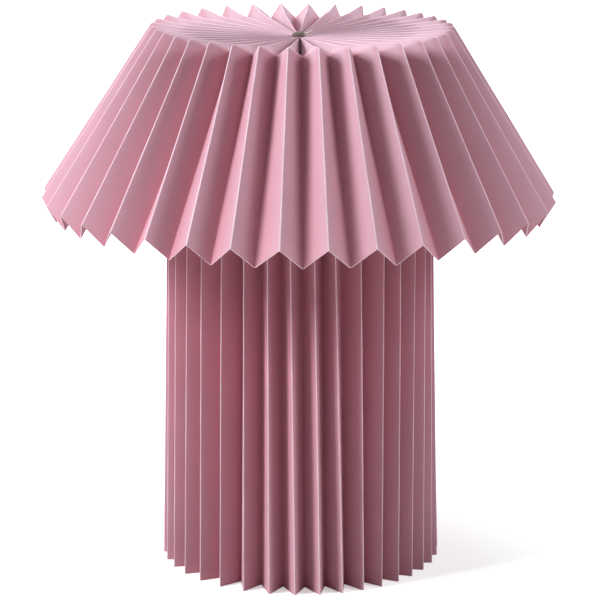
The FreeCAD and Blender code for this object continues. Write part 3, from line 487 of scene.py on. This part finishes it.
def opal_globe():
    """Opal plastic diffuser, blown thin: milky white, satin, light soaks a little way in."""
    material, tree, shader = new_finish("opal globe")
    place = object_place(tree)
    clouds = speckle(tree, place, 9, detail=3)
    tree.links.new(two_tone(tree, clouds, linear("#EDEDE8"), linear("#F8F8F4"), 0.35, 0.65),
                   shader.inputs["Base Color"])
    tree.links.new(span(tree, clouds, 0.26, 0.36), shader.inputs["Roughness"])
    shader.inputs["IOR"].default_value = 1.49
    shader.inputs["Subsurface Weight"].default_value = 0.3
    shader.inputs["Subsurface Scale"].default_value = 2 * MM
    return material


# ---------------------------------------------------------------- building helpers
def link_mesh(name, points, faces, materials=()):
    """A new mesh object from points and faces, in the scene."""
    mesh = bpy.data.meshes.new(name)
    mesh.from_pydata(points, [], faces)
    for material in materials:
        mesh.materials.append(material)
    piece = bpy.data.objects.new(name, mesh)
    bpy.context.scene.collection.objects.link(piece)
    return piece


def settle(piece):
    """Applies the piece's modifiers to its mesh."""
    bpy.context.view_layer.update()
    ready = piece.evaluated_get(bpy.context.evaluated_depsgraph_get())
    mesh = bpy.data.meshes.new_from_object(ready)
    piece.modifiers.clear()
    piece.data = mesh
    return piece


def smooth(piece, angle):
    """Smooth shading that keeps edges sharper than the angle."""
    piece.data.shade_smooth()
    piece.data.set_sharp_from_angle(angle=math.radians(angle))


def dress(material, *nodes):
    """Gives a finish to CAD nodes whose shape is already right."""
    for name in nodes:
        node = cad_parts[name]
        if not node.material_slots:
            node.data.materials.append(material)
        for place in node.material_slots:
            place.link = "OBJECT"
            place.material = material


def around(angle, radius, height):
    """Point at an angle from the front of the lamp."""
    return Vector((radius * math.sin(angle), -radius * math.cos(angle), height))


# ---------------------------------------------------------------- pleated sheets
# How a hand-folded line strays round the lamp: a mean, then parts that go once, twice and three
# times round, each as (front, side).  Degrees for angles, millimetres for radii and heights.
Drift = namedtuple("Drift", "mean once twice thrice", defaults=((0, 0), (0, 0), (0, 0)))
SKIRT_RIDGE_ANGLE = Drift(2.2, (0.0, 0.1), (-2.1, -0.75), (0.6, -0.1))
SKIRT_VALLEY_ANGLE = Drift(2.0, (0.0, -3.5), (-2.1, 2.2), (0.7, -0.7))
SKIRT_RADIUS = Drift(-0.1, (-0.2, -0.8), (0.2, 0.3))
SKIRT_HEIGHT = Drift(0.0, (-0.2, -0.9))
RIM_ANGLE = Drift(0.55, (2.3, -2.4), (-1.8, 2.4), (0.0, 0.6))
RIM_RADIUS = Drift(0.0, (0.5, 1.6), (-0.1, 0.3))
RIM_HEIGHT = Drift(0.45, (-0.35, -0.7))
FOOT_RIDGE_ANGLE = Drift(-0.2, (0.7, -4.5), (1.4, 0.8), (1.1, 0.55))
FOOT_VALLEY_ANGLE = Drift(-0.9, (0.7, -4.0), (1.4, 0.8), (1.1, 0.55))
FOOT_RADIUS = Drift(0.1, (0.1, 0.5))
MOUTH_ANGLE = Drift(0.4, (0.5, -0.5), (0.5, 1.7), (-0.6, -1.8))
# folds at the column's mouth that stand off the even spacing, by fold line number: degrees
MOUTH_NUDGE = {3: -1.5, 7: 1.4, -9: -1.0, -13: 0.6}


def stray(drift, angle):
    """How far a line strays at an angle round the lamp."""
    total = drift.mean
    for turns, (front, side) in enumerate((drift.once, drift.twice, drift.thrice), 1):
        total += front * math.cos(turns * angle) + side * math.sin(turns * angle)
    return total


def rounded(start, corner, stop):
    """Three points of the smooth bend round a corner, from start to stop."""
    return [start.lerp(corner, t).lerp(corner.lerp(stop, t), t) for t in (0.25, 0.5, 0.75)]


def eased_line(stations, counts, eases):
    """Points along a fold line through the stations, its inner corners eased by short bends."""
    points = []
    start = stations[0]
    for i, count in enumerate(counts):
        end = stations[i + 1]
        last = i == len(counts) - 1
        stop = end if last else end + (stations[i] - end).normalized() * eases[i]
        for step in range(count + 1):
            points.append(start.lerp(stop, step / count))
        if not last:
            start = end + (stations[i + 2] - end).normalized() * eases[i]
            points += rounded(stop, end, start)
    return points


def corner_bend(here, before, after, reach):
    """Five points that bend the paper round a fold line."""
    first = here + (before - here).normalized() * reach
    last = here + (after - here).normalized() * reach
    return [first, *rounded(first, here, last), last]


def lengths_along(line):
    """Millimetres from the start of a fold line to each of its points."""
    runs = [0.0]
    for a, b in zip(line, line[1:]):
        runs.append(runs[-1] + (b - a).length / MM)
    return runs


def pleated_sheet(name, lines, panel_mm, reach, thickness, bows, inside, materials):
    """Folds a sheet along the lines, from the first one round to it again and on into a glued lap.

    lines: one list of points for each fold line, all of one length.  bows: how far each panel
    bulges.  inside: a point inside the sheet, which tells its two faces apart.
    """
    count = len(lines)
    rows = len(lines[0])
    shares = (0.25, 0.5, 0.75)  # points across each panel
    most_bent = 0.3  # of a narrow panel
    lap = 0.45 * MM
    points = []
    marks = []
    reach_mm = reach / MM
    along = [lengths_along(line) for line in lines]
    for row in range(rows):
        swell = math.sin(math.pi * row / (rows - 1))
        near = max(row - 1, 0)
        far = min(row + 1, rows - 1)
        for i in range(count + 1):
            this = i % count
            here = lines[this][row]
            before = lines[this - 1][row]
            after = lines[(this + 1) % count][row]
            facing = (after - here).cross(lines[this][far] - lines[this][near]).normalized()
            if facing.dot(inside - here) < 0:
                facing = -facing
            under = facing * lap if i == count else Vector()
            bend = corner_bend(here, before, after,
                               min(reach, most_bent * (after - here).length))
            if i == 0:
                bend = bend[-1:]
            for j, point in enumerate(bend):
                turn = j - (len(bend) - 1) / 2
                points.append(point + under * (j / 4 if i == count else 0))
                marks.append((i * panel_mm + turn * reach_mm / 2 if i else reach_mm,
                              along[this][row], 0.0))
            for share in shares if i < count else shares[:2]:
                bulge = -facing * bows[this] * swell * 4 * share * (1 - share)
                flat = here.lerp(after, share)
                points.append(flat + bulge + under)
                marks.append(((i + share) * panel_mm, along[this][row], 0.0))
    width = len(points) // rows
    faces = [(r * width + c, r * width + c + 1, (r + 1) * width + c + 1, (r + 1) * width + c)
             for r in range(rows - 1) for c in range(width - 1)]
    cockle, cockle_width = 0.10 * MM, 28 * MM
    points = [p + noise.noise_vector(p / cockle_width) * cockle for p in points]
    piece = link_mesh(name, points, faces, materials)
    place = piece.data.attributes.new(COORDS, "FLOAT_VECTOR", "POINT")
    place.data.foreach_set("vector", [part for mark in marks for part in mark])
    solid = piece.modifiers.new("caliper", "SOLIDIFY")
    solid.thickness = thickness
    solid.offset = 0
    solid.use_even_offset = False
    solid.material_offset_rim = 1
    return piece


def random_parts(seed, count, spread):
    """Small even-handed deviations, the same on every run."""
    dice = random.Random(seed)
    return [dice.uniform(-spread, spread) for _ in range(count)]


def panel_width_mm(sheets):
    """Width of one panel, from the column's foot: folds of that depth at that pitch."""
    half = math.pi / sheets.pleats
    valley = sheets.foot_radius - sheets.foot_depth
    a = Vector((sheets.foot_radius, 0, 0))
    b = Vector((valley * math.cos(half), valley * math.sin(half), 0))
    return (a - b).length / MM


def deck_ridge(sheets, top, radius):
    """Height of the deck's ridges, which fall in a straight line from the rim to the hub."""
    return top - sheets.hub_sink * (sheets.rim_radius - radius) / (
        sheets.rim_radius - sheets.hub_radius)


class LAMP_OT_shade_paper(bpy.types.Operator):
    """Folds the shade: skirt, rim and gathered deck in one sheet"""
    bl_idname = "paper_lamp.shade_paper"
    bl_label = "Shade paper"

    def execute(self, context):
        sheets = context.scene.paper_lamp_sheets
        colours = context.scene.paper_lamp_colours
        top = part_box("shade_paper")[1].z
        skirt_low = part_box("shade_paper")[0].z
        lines_round = 2 * sheets.pleats
        half_pitch = math.pi / sheets.pleats
        wander = random_parts(3, lines_round, 0.22)
        reach_out = random_parts(5, lines_round, 0.35)
        twist = random_parts(8, lines_round, 3.0)
        held = 0.3  # share of the rim's stray left to the valleys, which sit on the carrier
        rim_crown = 0.9 * MM  # the ridge corners stand a little proud, as their bends cut them
        hub_share, deck_share, shoulder_share, tuck_share = 0.3, 0.5, 0.8, 0.9  # of the rim's turn
        points_each = (6, 6, 4, 3, 18)  # on a fold line: hub, deck, shoulder, tuck, rim to skirt
        eases = (5 * MM, 1.5 * MM, 1.0 * MM, sheets.rim_ease)
        first = sheets.pleats + 1
        lines = []
        for number in range(first, first + lines_round):
            ridge = number % 2 == 1
            even = number * half_pitch
            own = number - first
            fold = 0.0 if ridge else sheets.deck_fold
            skirt_turn = stray(SKIRT_RIDGE_ANGLE if ridge else SKIRT_VALLEY_ANGLE, even)
            rim_turn = stray(RIM_ANGLE, even)
            stations = [
                around(even + math.radians(hub_share * rim_turn + twist[own]), sheets.hub_radius,
                       top - sheets.hub_sink - fold),
                around(even + math.radians(deck_share * rim_turn), sheets.deck_radius,
                       deck_ridge(sheets, top, sheets.deck_radius) - fold),
                around(even + math.radians(shoulder_share * rim_turn), sheets.shoulder_radius,
                       deck_ridge(sheets, top, sheets.shoulder_radius) - fold),
                around(even + math.radians(tuck_share * rim_turn), sheets.tuck_radius,
                       deck_ridge(sheets, top, sheets.tuck_radius)
                       - (0 if ridge else sheets.tuck_fold)),
                around(even + math.radians(rim_turn + wander[own]),
                       sheets.rim_radius - (0 if ridge else sheets.rim_depth)
                       + stray(RIM_RADIUS, even) * (1.0 if ridge else held) * MM,
                       top + (rim_crown if ridge else -sheets.rim_dip)
                       + stray(RIM_HEIGHT, even) * MM),
                around(even + math.radians(skirt_turn + wander[own - 7]),
                       sheets.skirt_radius - (0 if ridge else sheets.skirt_depth)
                       + (stray(SKIRT_RADIUS, even) + reach_out[own]) * MM,
                       skirt_low + (sheets.skirt_dip if ridge else 0.0)
                       + stray(SKIRT_HEIGHT, even) * MM),
            ]
            lines.append(eased_line(stations, points_each, eases))
        panel = panel_width_mm(sheets)
        inside = Vector((0, 0, (top + skirt_low) / 2))
        bows = [0.3 * MM * part for part in random_parts(11, lines_round, 1.0)]
        deck_mm = (sheets.rim_radius - sheets.hub_radius) / MM
        # the shade's deck is painted paler than its skirt, as painted light on the lamp's top
        paper = dyed_folding_paper(
            colours, panel, gathered_mm=2 * sheets.deck_radius / MM, worn_mm=0.38,
            painted_light_span_mm=(deck_mm - 12, deck_mm), painted_light_levels=(1.4, 0.65))
        piece = pleated_sheet("shade_sheet", lines, panel, sheets.crease, sheets.thickness, bows,
                              inside, [paper, cut_paper_edge(colours)])
        settle(piece)
        smooth(piece, 40)
        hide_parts("shade_paper")
        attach(piece, "shade")
        return {"FINISHED"}


class LAMP_OT_column_paper(bpy.types.Operator):
    """Folds the column, cut flat at the floor, with a notch for the lead at its back"""
    bl_idname = "paper_lamp.column_paper"
    bl_label = "Column paper"

    def execute(self, context):
        sheets = context.scene.paper_lamp_sheets
        colours = context.scene.paper_lamp_colours
        low, high = (corner.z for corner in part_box("column_paper"))
        lines_round = 2 * sheets.pleats
        half_pitch = math.pi / sheets.pleats
        wander = random_parts(21, lines_round, 0.25)
        first = sheets.pleats + 1
        lines = []
        for number in range(first, first + lines_round):
            ridge = number % 2 == 1
            even = number * half_pitch
            own = number - first
            foot_turn = stray(FOOT_RIDGE_ANGLE if ridge else FOOT_VALLEY_ANGLE, even)
            seen_number = (number + sheets.pleats) % lines_round - sheets.pleats
            mouth_turn = stray(MOUTH_ANGLE, even) + MOUTH_NUDGE.get(seen_number, 0.0)
            foot = around(even + math.radians(foot_turn + wander[own]),
                          sheets.foot_radius - (0 if ridge else sheets.foot_depth)
                          + stray(FOOT_RADIUS, even) * MM, low)
            mouth = around(even + math.radians(mouth_turn + wander[own - 5]),
                           sheets.mouth_radius - (0 if ridge else sheets.mouth_depth), high)
            lines.append(eased_line([foot, mouth], (18,), ()))
        panel = panel_width_mm(sheets)
        bows = [0.35 * MM * part for part in random_parts(23, lines_round, 1.0)]
        # the column's ridges are painted paler at its foot and darker up under the shade: painted
        # light below, painted shadow of the shade above
        paper = dyed_folding_paper(colours, panel, gathered_mm=0.0, worn_mm=0.42,
                                   painted_light_span_mm=(40, 220), painted_light_levels=(0.55, 0.05))
        piece = pleated_sheet("column_sheet", lines, panel, sheets.crease, sheets.thickness, bows,
                              Vector((0, 0, (low + high) / 2)), [paper, cut_paper_edge(colours)])
        settle(piece)
        self.cut_notch(piece)
        smooth(piece, 40)
        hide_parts("column_paper")
        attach(piece, "stand")
        return {"FINISHED"}

    def cut_notch(self, piece):
        """Cuts the lead's notch out of the rear ridge, a little wider than the inlet."""
        low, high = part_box("cord_inlet")
        gap = 1.0 * MM
        half = (high.x - low.x) / 2 + gap / 2
        crown = high.z + gap
        bevel = half * 0.4
        outline = [(-half, -gap), (half, -gap), (half, crown - bevel), (half - bevel, crown),
                   (bevel - half, crown), (-half, crown - bevel)]
        inside, outside = 60 * MM, 110 * MM
        points = [(x, y, z) for y in (inside, outside) for x, z in outline]
        sides = len(outline)
        faces = [tuple(reversed(range(sides))), tuple(range(sides, 2 * sides))]
        faces += [(i, (i + 1) % sides, (i + 1) % sides + sides, i + sides) for i in range(sides)]
        cutter = link_mesh("notch_cutter", points, faces)
        whole = piece.data
        near_by = kdtree.KDTree(len(whole.vertices))
        for vertex in whole.vertices:
            near_by.insert(vertex.co, vertex.index)
        near_by.balance()
        cut = piece.modifiers.new("notch", "BOOLEAN")
        cut.operation = "DIFFERENCE"
        cut.object = cutter
        cut.solver = "EXACT"
        settle(piece)
        # the cut drops the paper's coordinates, so they are taken again from the whole sheet
        marks = whole.attributes[COORDS].data
        for vertex, mark in zip(piece.data.vertices, piece.data.attributes[COORDS].data):
            mark.vector = marks[near_by.find(vertex.co)[1]].vector
        bpy.data.objects.remove(cutter)


# ---------------------------------------------------------------- gather cord
def twisted_route(route, plies, ply_radius, pitch):
    """Plies laid in a twist round a route: one list of points for each ply."""
    strands = [[] for _ in range(plies)]
    run = 0.0
    for i, point in enumerate(route):
        ahead = route[min(i + 1, len(route) - 1)] - route[max(i - 1, 0)]
        ahead.normalize()
        side = ahead.cross(Vector((0.13, 0.21, 1.0))).normalized()
        up = side.cross(ahead)
        if i:
            run += (point - route[i - 1]).length
        for ply in range(plies):
            turn = 2 * math.pi * (run / pitch + ply / plies)
            strands[ply].append(point + ply_radius * (math.cos(turn) * side + math.sin(turn) * up))
    return strands


def smooth_route(corners, steps):
    """Many points on the smooth line near a few corners."""
    line = [Vector(c) for c in corners]
    for _ in range(steps):
        cut = [line[0]]
        for a, b in zip(line, line[1:]):
            cut += [a.lerp(b, 0.25), a.lerp(b, 0.75)]
        line = cut + [line[-1]]
    return line


class LAMP_OT_gather_cord(bpy.types.Operator):
    """Ties the twisted cord that gathers the deck's folds, with its whipping and cut tails"""
    bl_idname = "paper_lamp.gather_cord"
    bl_label = "Gather cord"

    def execute(self, context):
        sheets = context.scene.paper_lamp_sheets
        colours = context.scene.paper_lamp_colours
        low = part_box("gather_cord")[0]
        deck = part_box("shade_paper")[1].z - sheets.hub_sink
        yarn = 0.62 * MM
        steps = 96
        loop_radius = sheets.hub_radius - 0.9 * MM
        loop = [around(2 * math.pi * i / steps, loop_radius, low.z + yarn)
                for i in range(steps + 1)]
        centre = Vector((-1.0 * MM, -2.6 * MM, deck + 0.2 * MM))
        self.lay_cord("gather_yarn", [loop, self.whipping(centre, yarn)], yarn,
                      twisted_cotton(colours.cord))
        tail = [centre + Vector(part) * MM for part in (
            (1.6, 0.0, 0.6), (3.6, 0.2, 1.6), (5.2, -0.3, 1.2), (6.6, 0.0, 2.2), (8.8, 0.9, 3.4))]
        short = [centre + Vector(part) * MM for part in (
            (2.0, -0.4, 0.2), (4.2, -0.9, 0.2), (6.2, -0.8, -0.2), (8.0, 0.4, 0.6))]
        self.lay_cord("gather_tails", [smooth_route(tail, 3), smooth_route(short, 3)], yarn,
                      twisted_cotton(colours.cord_tail))
        return {"FINISHED"}

    def whipping(self, centre, yarn):
        """Route of the cord wound tight round its own ends, as a lying barrel."""
        windings = 6
        steps = 18 * windings
        end_radius, belly = 1.5 * MM, 1.0 * MM
        pitch = 1.95 * yarn
        route = []
        for i in range(steps + 1):
            share = i / steps
            turn = 2 * math.pi * windings * share
            radius = end_radius + belly * math.sin(math.pi * share)
            along = (share - 0.5) * windings * pitch
            route.append(centre + Vector((along, radius * math.cos(turn),
                                          radius * math.sin(turn) + 0.15 * along)))
        return route

    def lay_cord(self, name, routes, yarn, material):
        """Two plies, twisted, along each route."""
        ply_radius = 0.55 * yarn
        curve = bpy.data.curves.new(name, "CURVE")
        curve.dimensions = "3D"
        curve.bevel_depth = ply_radius
        curve.bevel_resolution = 2
        curve.use_fill_caps = True
        for route in routes:
            for strand in twisted_route(route, 2, ply_radius * 0.9, 4 * yarn):
                spline = curve.splines.new("POLY")
                spline.points.add(len(strand) - 1)
                for point, place in zip(spline.points, strand):
                    point.co = (*place, 1.0)
        curve.materials.append(material)
        piece = bpy.data.objects.new(name, curve)
        bpy.context.scene.collection.objects.link(piece)
        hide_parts("gather_cord")
        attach(piece, "shade")


# ---------------------------------------------------------------- fittings
class LAMP_OT_base(bpy.types.Operator):
    """Finishes the weighted base, its felt, its nut and the lead's inlet"""
    bl_idname = "paper_lamp.base"
    bl_label = "Base"

    def execute(self, context):
        dress(pressed_felt(), "base_felt")
        dress(powder_coat("white powder coat on plate", "#E9E8E4"), "base_plate")
        dress(moulded_plastic("black nylon", "#1D1D1F", 0.45), "cord_inlet")
        dress(zinc_plate(), "base_washer", "base_nut")
        return {"FINISHED"}


class LAMP_OT_stem(bpy.types.Operator):
    """Finishes the stem, its threaded tube, nuts and the two wire spiders"""
    bl_idname = "paper_lamp.stem"
    bl_label = "Stem and spiders"

    def execute(self, context):
        dress(powder_coat("white powder coat on tube", "#ECEBE7"), "stem_tube")
        dress(zinc_plate(), "threaded_tube", "lock_washer", "lock_nut")
        dress(powder_coat("white powder coat on wire", "#EDECE8"), "column_spider",
              "shade_carrier")
        return {"FINISHED"}


class LAMP_OT_lampholder(bpy.types.Operator):
    """Finishes the lampholder, its contacts and the threaded ring"""
    bl_idname = "paper_lamp.lampholder"
    bl_label = "Lampholder"

    def execute(self, context):
        dress(moulded_plastic("white thermoplastic", "#F0EFEB", 0.3), "holder_cap",
              "holder_shell", "shade_ring")
        dress(moulded_plastic("black nylon screw", "#1D1D1F", 0.45), "lock_screw")
        dress(moulded_steatite(), "holder_core")
        dress(spring_brass(), "centre_contact", "side_contacts", "terminal_screws")
        return {"FINISHED"}


class LAMP_OT_bulb(bpy.types.Operator):
    """Finishes the bulb"""
    bl_idname = "paper_lamp.bulb"
    bl_label = "Bulb"

    def execute(self, context):
        dress(solder_button(), "bulb_contact")
        dress(vitreous_insulator(), "bulb_insulator")
        dress(nickelled_brass(), "bulb_cap")
        dress(moulded_plastic("satin white bulb plastic", "#F3F3F0", 0.34), "bulb_housing")
        dress(lacquered_board(), "bulb_led_board")
        dress(opal_globe(), "bulb_globe")
        return {"FINISHED"}


# ---------------------------------------------------------------- stage
# Where the square softboxes stand: degrees round from the front, degrees above the floor, metres
# away, metres wide, and the height on the lamp's axis that they face.
Softbox = namedtuple("Softbox", "azimuth height distance width aim")
SOFTBOXES = {
    "key": Softbox(-70, 35, 2.6, 0.9, 0.18),
    "fill": Softbox(74, 36, 2.6, 0.9, 0.18),
    "top": Softbox(-170, 72, 2.2, 1.2, 0.18),
    "front": Softbox(-20, 38, 3.0, 1.6, 0.25),
}


def hang_softbox(name, place, power):
    """Puts a softbox in its place, turned to the lamp."""
    light = bpy.data.lights.new(name, "AREA")
    light.shape = "SQUARE"
    light.size = place.width
    light.energy = power
    light.color = linear("#F0FAFF")[:3]
    box = bpy.data.objects.new(name, light)
    level = place.distance * math.cos(math.radians(place.height))
    raised = place.distance * math.sin(math.radians(place.height))
    box.location = around(math.radians(place.azimuth), level, raised)
    facing = Vector((0, 0, place.aim)) - box.location
    box.rotation_euler = facing.to_track_quat("-Z", "Y").to_euler()
    bpy.context.scene.collection.objects.link(box)


def seen_directly(tree):
    """1 for camera, glossy and transmission rays, which see the white background."""
    path = add(tree, "ShaderNodeLightPath").outputs
    seen = add(tree, "ShaderNodeMath", {
        0: path["Is Camera Ray"], 1: path["Is Glossy Ray"]}, operation="MAXIMUM").outputs[0]
    return add(tree, "ShaderNodeMath", {
        0: seen, 1: path["Is Transmission Ray"]}, operation="MAXIMUM").outputs[0]


def studio_floor():
    """Seamless white paper sweep: matt, lifted to white where it is seen, darker in shadow."""
    material = bpy.data.materials.new("studio floor")
    material.use_nodes = True
    tree = material.node_tree
    tree.nodes.clear()
    sweep = add(tree, "ShaderNodeBsdfDiffuse", {"Color": linear("#FAF6F4"), "Roughness": 0.5})
    from_lamp = add(tree, "ShaderNodeVectorMath", {0: object_place(tree)},
                    operation="LENGTH").outputs["Value"]
    shadow_reach, far_off = 0.3, 2.0  # metres from the lamp
    lift = add(tree, "ShaderNodeMapRange", {
        "Value": from_lamp, "From Min": shadow_reach, "From Max": far_off, "To Min": 0.45,
        "To Max": 1.0}).outputs["Result"]
    glow = add(tree, "ShaderNodeEmission", {
        "Color": WHITE,
        "Strength": add(tree, "ShaderNodeMath", {0: seen_directly(tree), 1: lift},
                        operation="MULTIPLY").outputs[0]})
    both = add(tree, "ShaderNodeAddShader", {0: sweep.outputs[0], 1: glow.outputs[0]})
    # seen from below the sweep is clear, so that the lamp's underside can be looked at
    surface = add(tree, "ShaderNodeMixShader", {
        0: add(tree, "ShaderNodeNewGeometry").outputs["Backfacing"], 1: both.outputs[0],
        2: add(tree, "ShaderNodeBsdfTransparent").outputs[0]})
    add(tree, "ShaderNodeOutputMaterial", {"Surface": surface.outputs[0]})
    return material


class LAMP_OT_stage(bpy.types.Operator):
    """Sets the floor, the softboxes, the room light and the camera"""
    bl_idname = "paper_lamp.stage"
    bl_label = "Stage"

    def execute(self, context):
        stage = context.scene.paper_lamp_stage
        reach = 6.0
        sink = -0.2 * MM
        floor = link_mesh("studio_floor", [(-reach, -reach, sink), (reach, -reach, sink),
                                           (reach, reach, sink), (-reach, reach, sink)],
                          [(0, 1, 2, 3)], [studio_floor()])
        for name, place in SOFTBOXES.items():
            hang_softbox(name, place, getattr(stage, name))

        world = bpy.data.worlds.new("studio")
        world.use_nodes = True
        context.scene.world = world
        tree = world.node_tree
        tree.nodes.clear()
        strength = add(tree, "ShaderNodeMapRange", {
            "Value": seen_directly(tree), "To Min": stage.room, "To Max": 1.0}).outputs["Result"]
        glow = add(tree, "ShaderNodeBackground", {"Color": WHITE, "Strength": strength})
        add(tree, "ShaderNodeOutputWorld", {"Surface": glow.outputs[0]})

        camera = bpy.data.cameras.new("photo_camera")
        camera.sensor_width = 36.0
        camera.sensor_fit = "HORIZONTAL"
        camera.lens = stage.lens
        camera.clip_start = 0.05
        view = bpy.data.objects.new("photo_camera", camera)
        view.location = (0, -stage.camera_distance, stage.camera_height)
        view.rotation_euler = (math.pi / 2 - stage.camera_tilt, 0, 0)
        context.scene.collection.objects.link(view)
        context.scene.camera = view
        context.scene.view_settings.view_transform = "Standard"
        return {"FINISHED"}


# ---------------------------------------------------------------- panel and running
OPERATORS = (LAMP_OT_shade_paper, LAMP_OT_column_paper, LAMP_OT_gather_cord, LAMP_OT_base,
             LAMP_OT_stem, LAMP_OT_lampholder, LAMP_OT_bulb, LAMP_OT_stage)


class LAMP_PT_sidebar(bpy.types.Panel):
    """Lists the lamp's operators and its main properties"""
    bl_label = "Pleated paper lamp"
    bl_idname = "LAMP_PT_sidebar"
    bl_space_type = "VIEW_3D"
    bl_region_type = "UI"
    bl_category = "Paper lamp"

    def draw(self, context):
        layout = self.layout
        for group in (context.scene.paper_lamp_sheets, context.scene.paper_lamp_colours,
                      context.scene.paper_lamp_stage):
            box = layout.box()
            for name in group.__annotations__:
                box.prop(group, name)
        for operator in OPERATORS:
            layout.operator(operator.bl_idname)


CLASSES = (PaperLampSheets, PaperLampColours, PaperLampStage, *OPERATORS, LAMP_PT_sidebar)


def register():
    for cls in CLASSES:
        bpy.utils.register_class(cls)
    scene = bpy.types.Scene
    scene.paper_lamp_sheets = bpy.props.PointerProperty(type=PaperLampSheets)
    scene.paper_lamp_colours = bpy.props.PointerProperty(type=PaperLampColours)
    scene.paper_lamp_stage = bpy.props.PointerProperty(type=PaperLampStage)


def unregister():
    scene = bpy.types.Scene
    del scene.paper_lamp_stage
    del scene.paper_lamp_colours
    del scene.paper_lamp_sheets
    for cls in reversed(CLASSES):
        bpy.utils.unregister_class(cls)


def main():
    register()
    bpy.ops.paper_lamp.stage()
    bpy.ops.paper_lamp.shade_paper()
    bpy.ops.paper_lamp.column_paper()
    bpy.ops.paper_lamp.gather_cord()
    bpy.ops.paper_lamp.base()
    bpy.ops.paper_lamp.stem()
    bpy.ops.paper_lamp.lampholder()
    bpy.ops.paper_lamp.bulb()


if __name__ == "__main__":
    main()
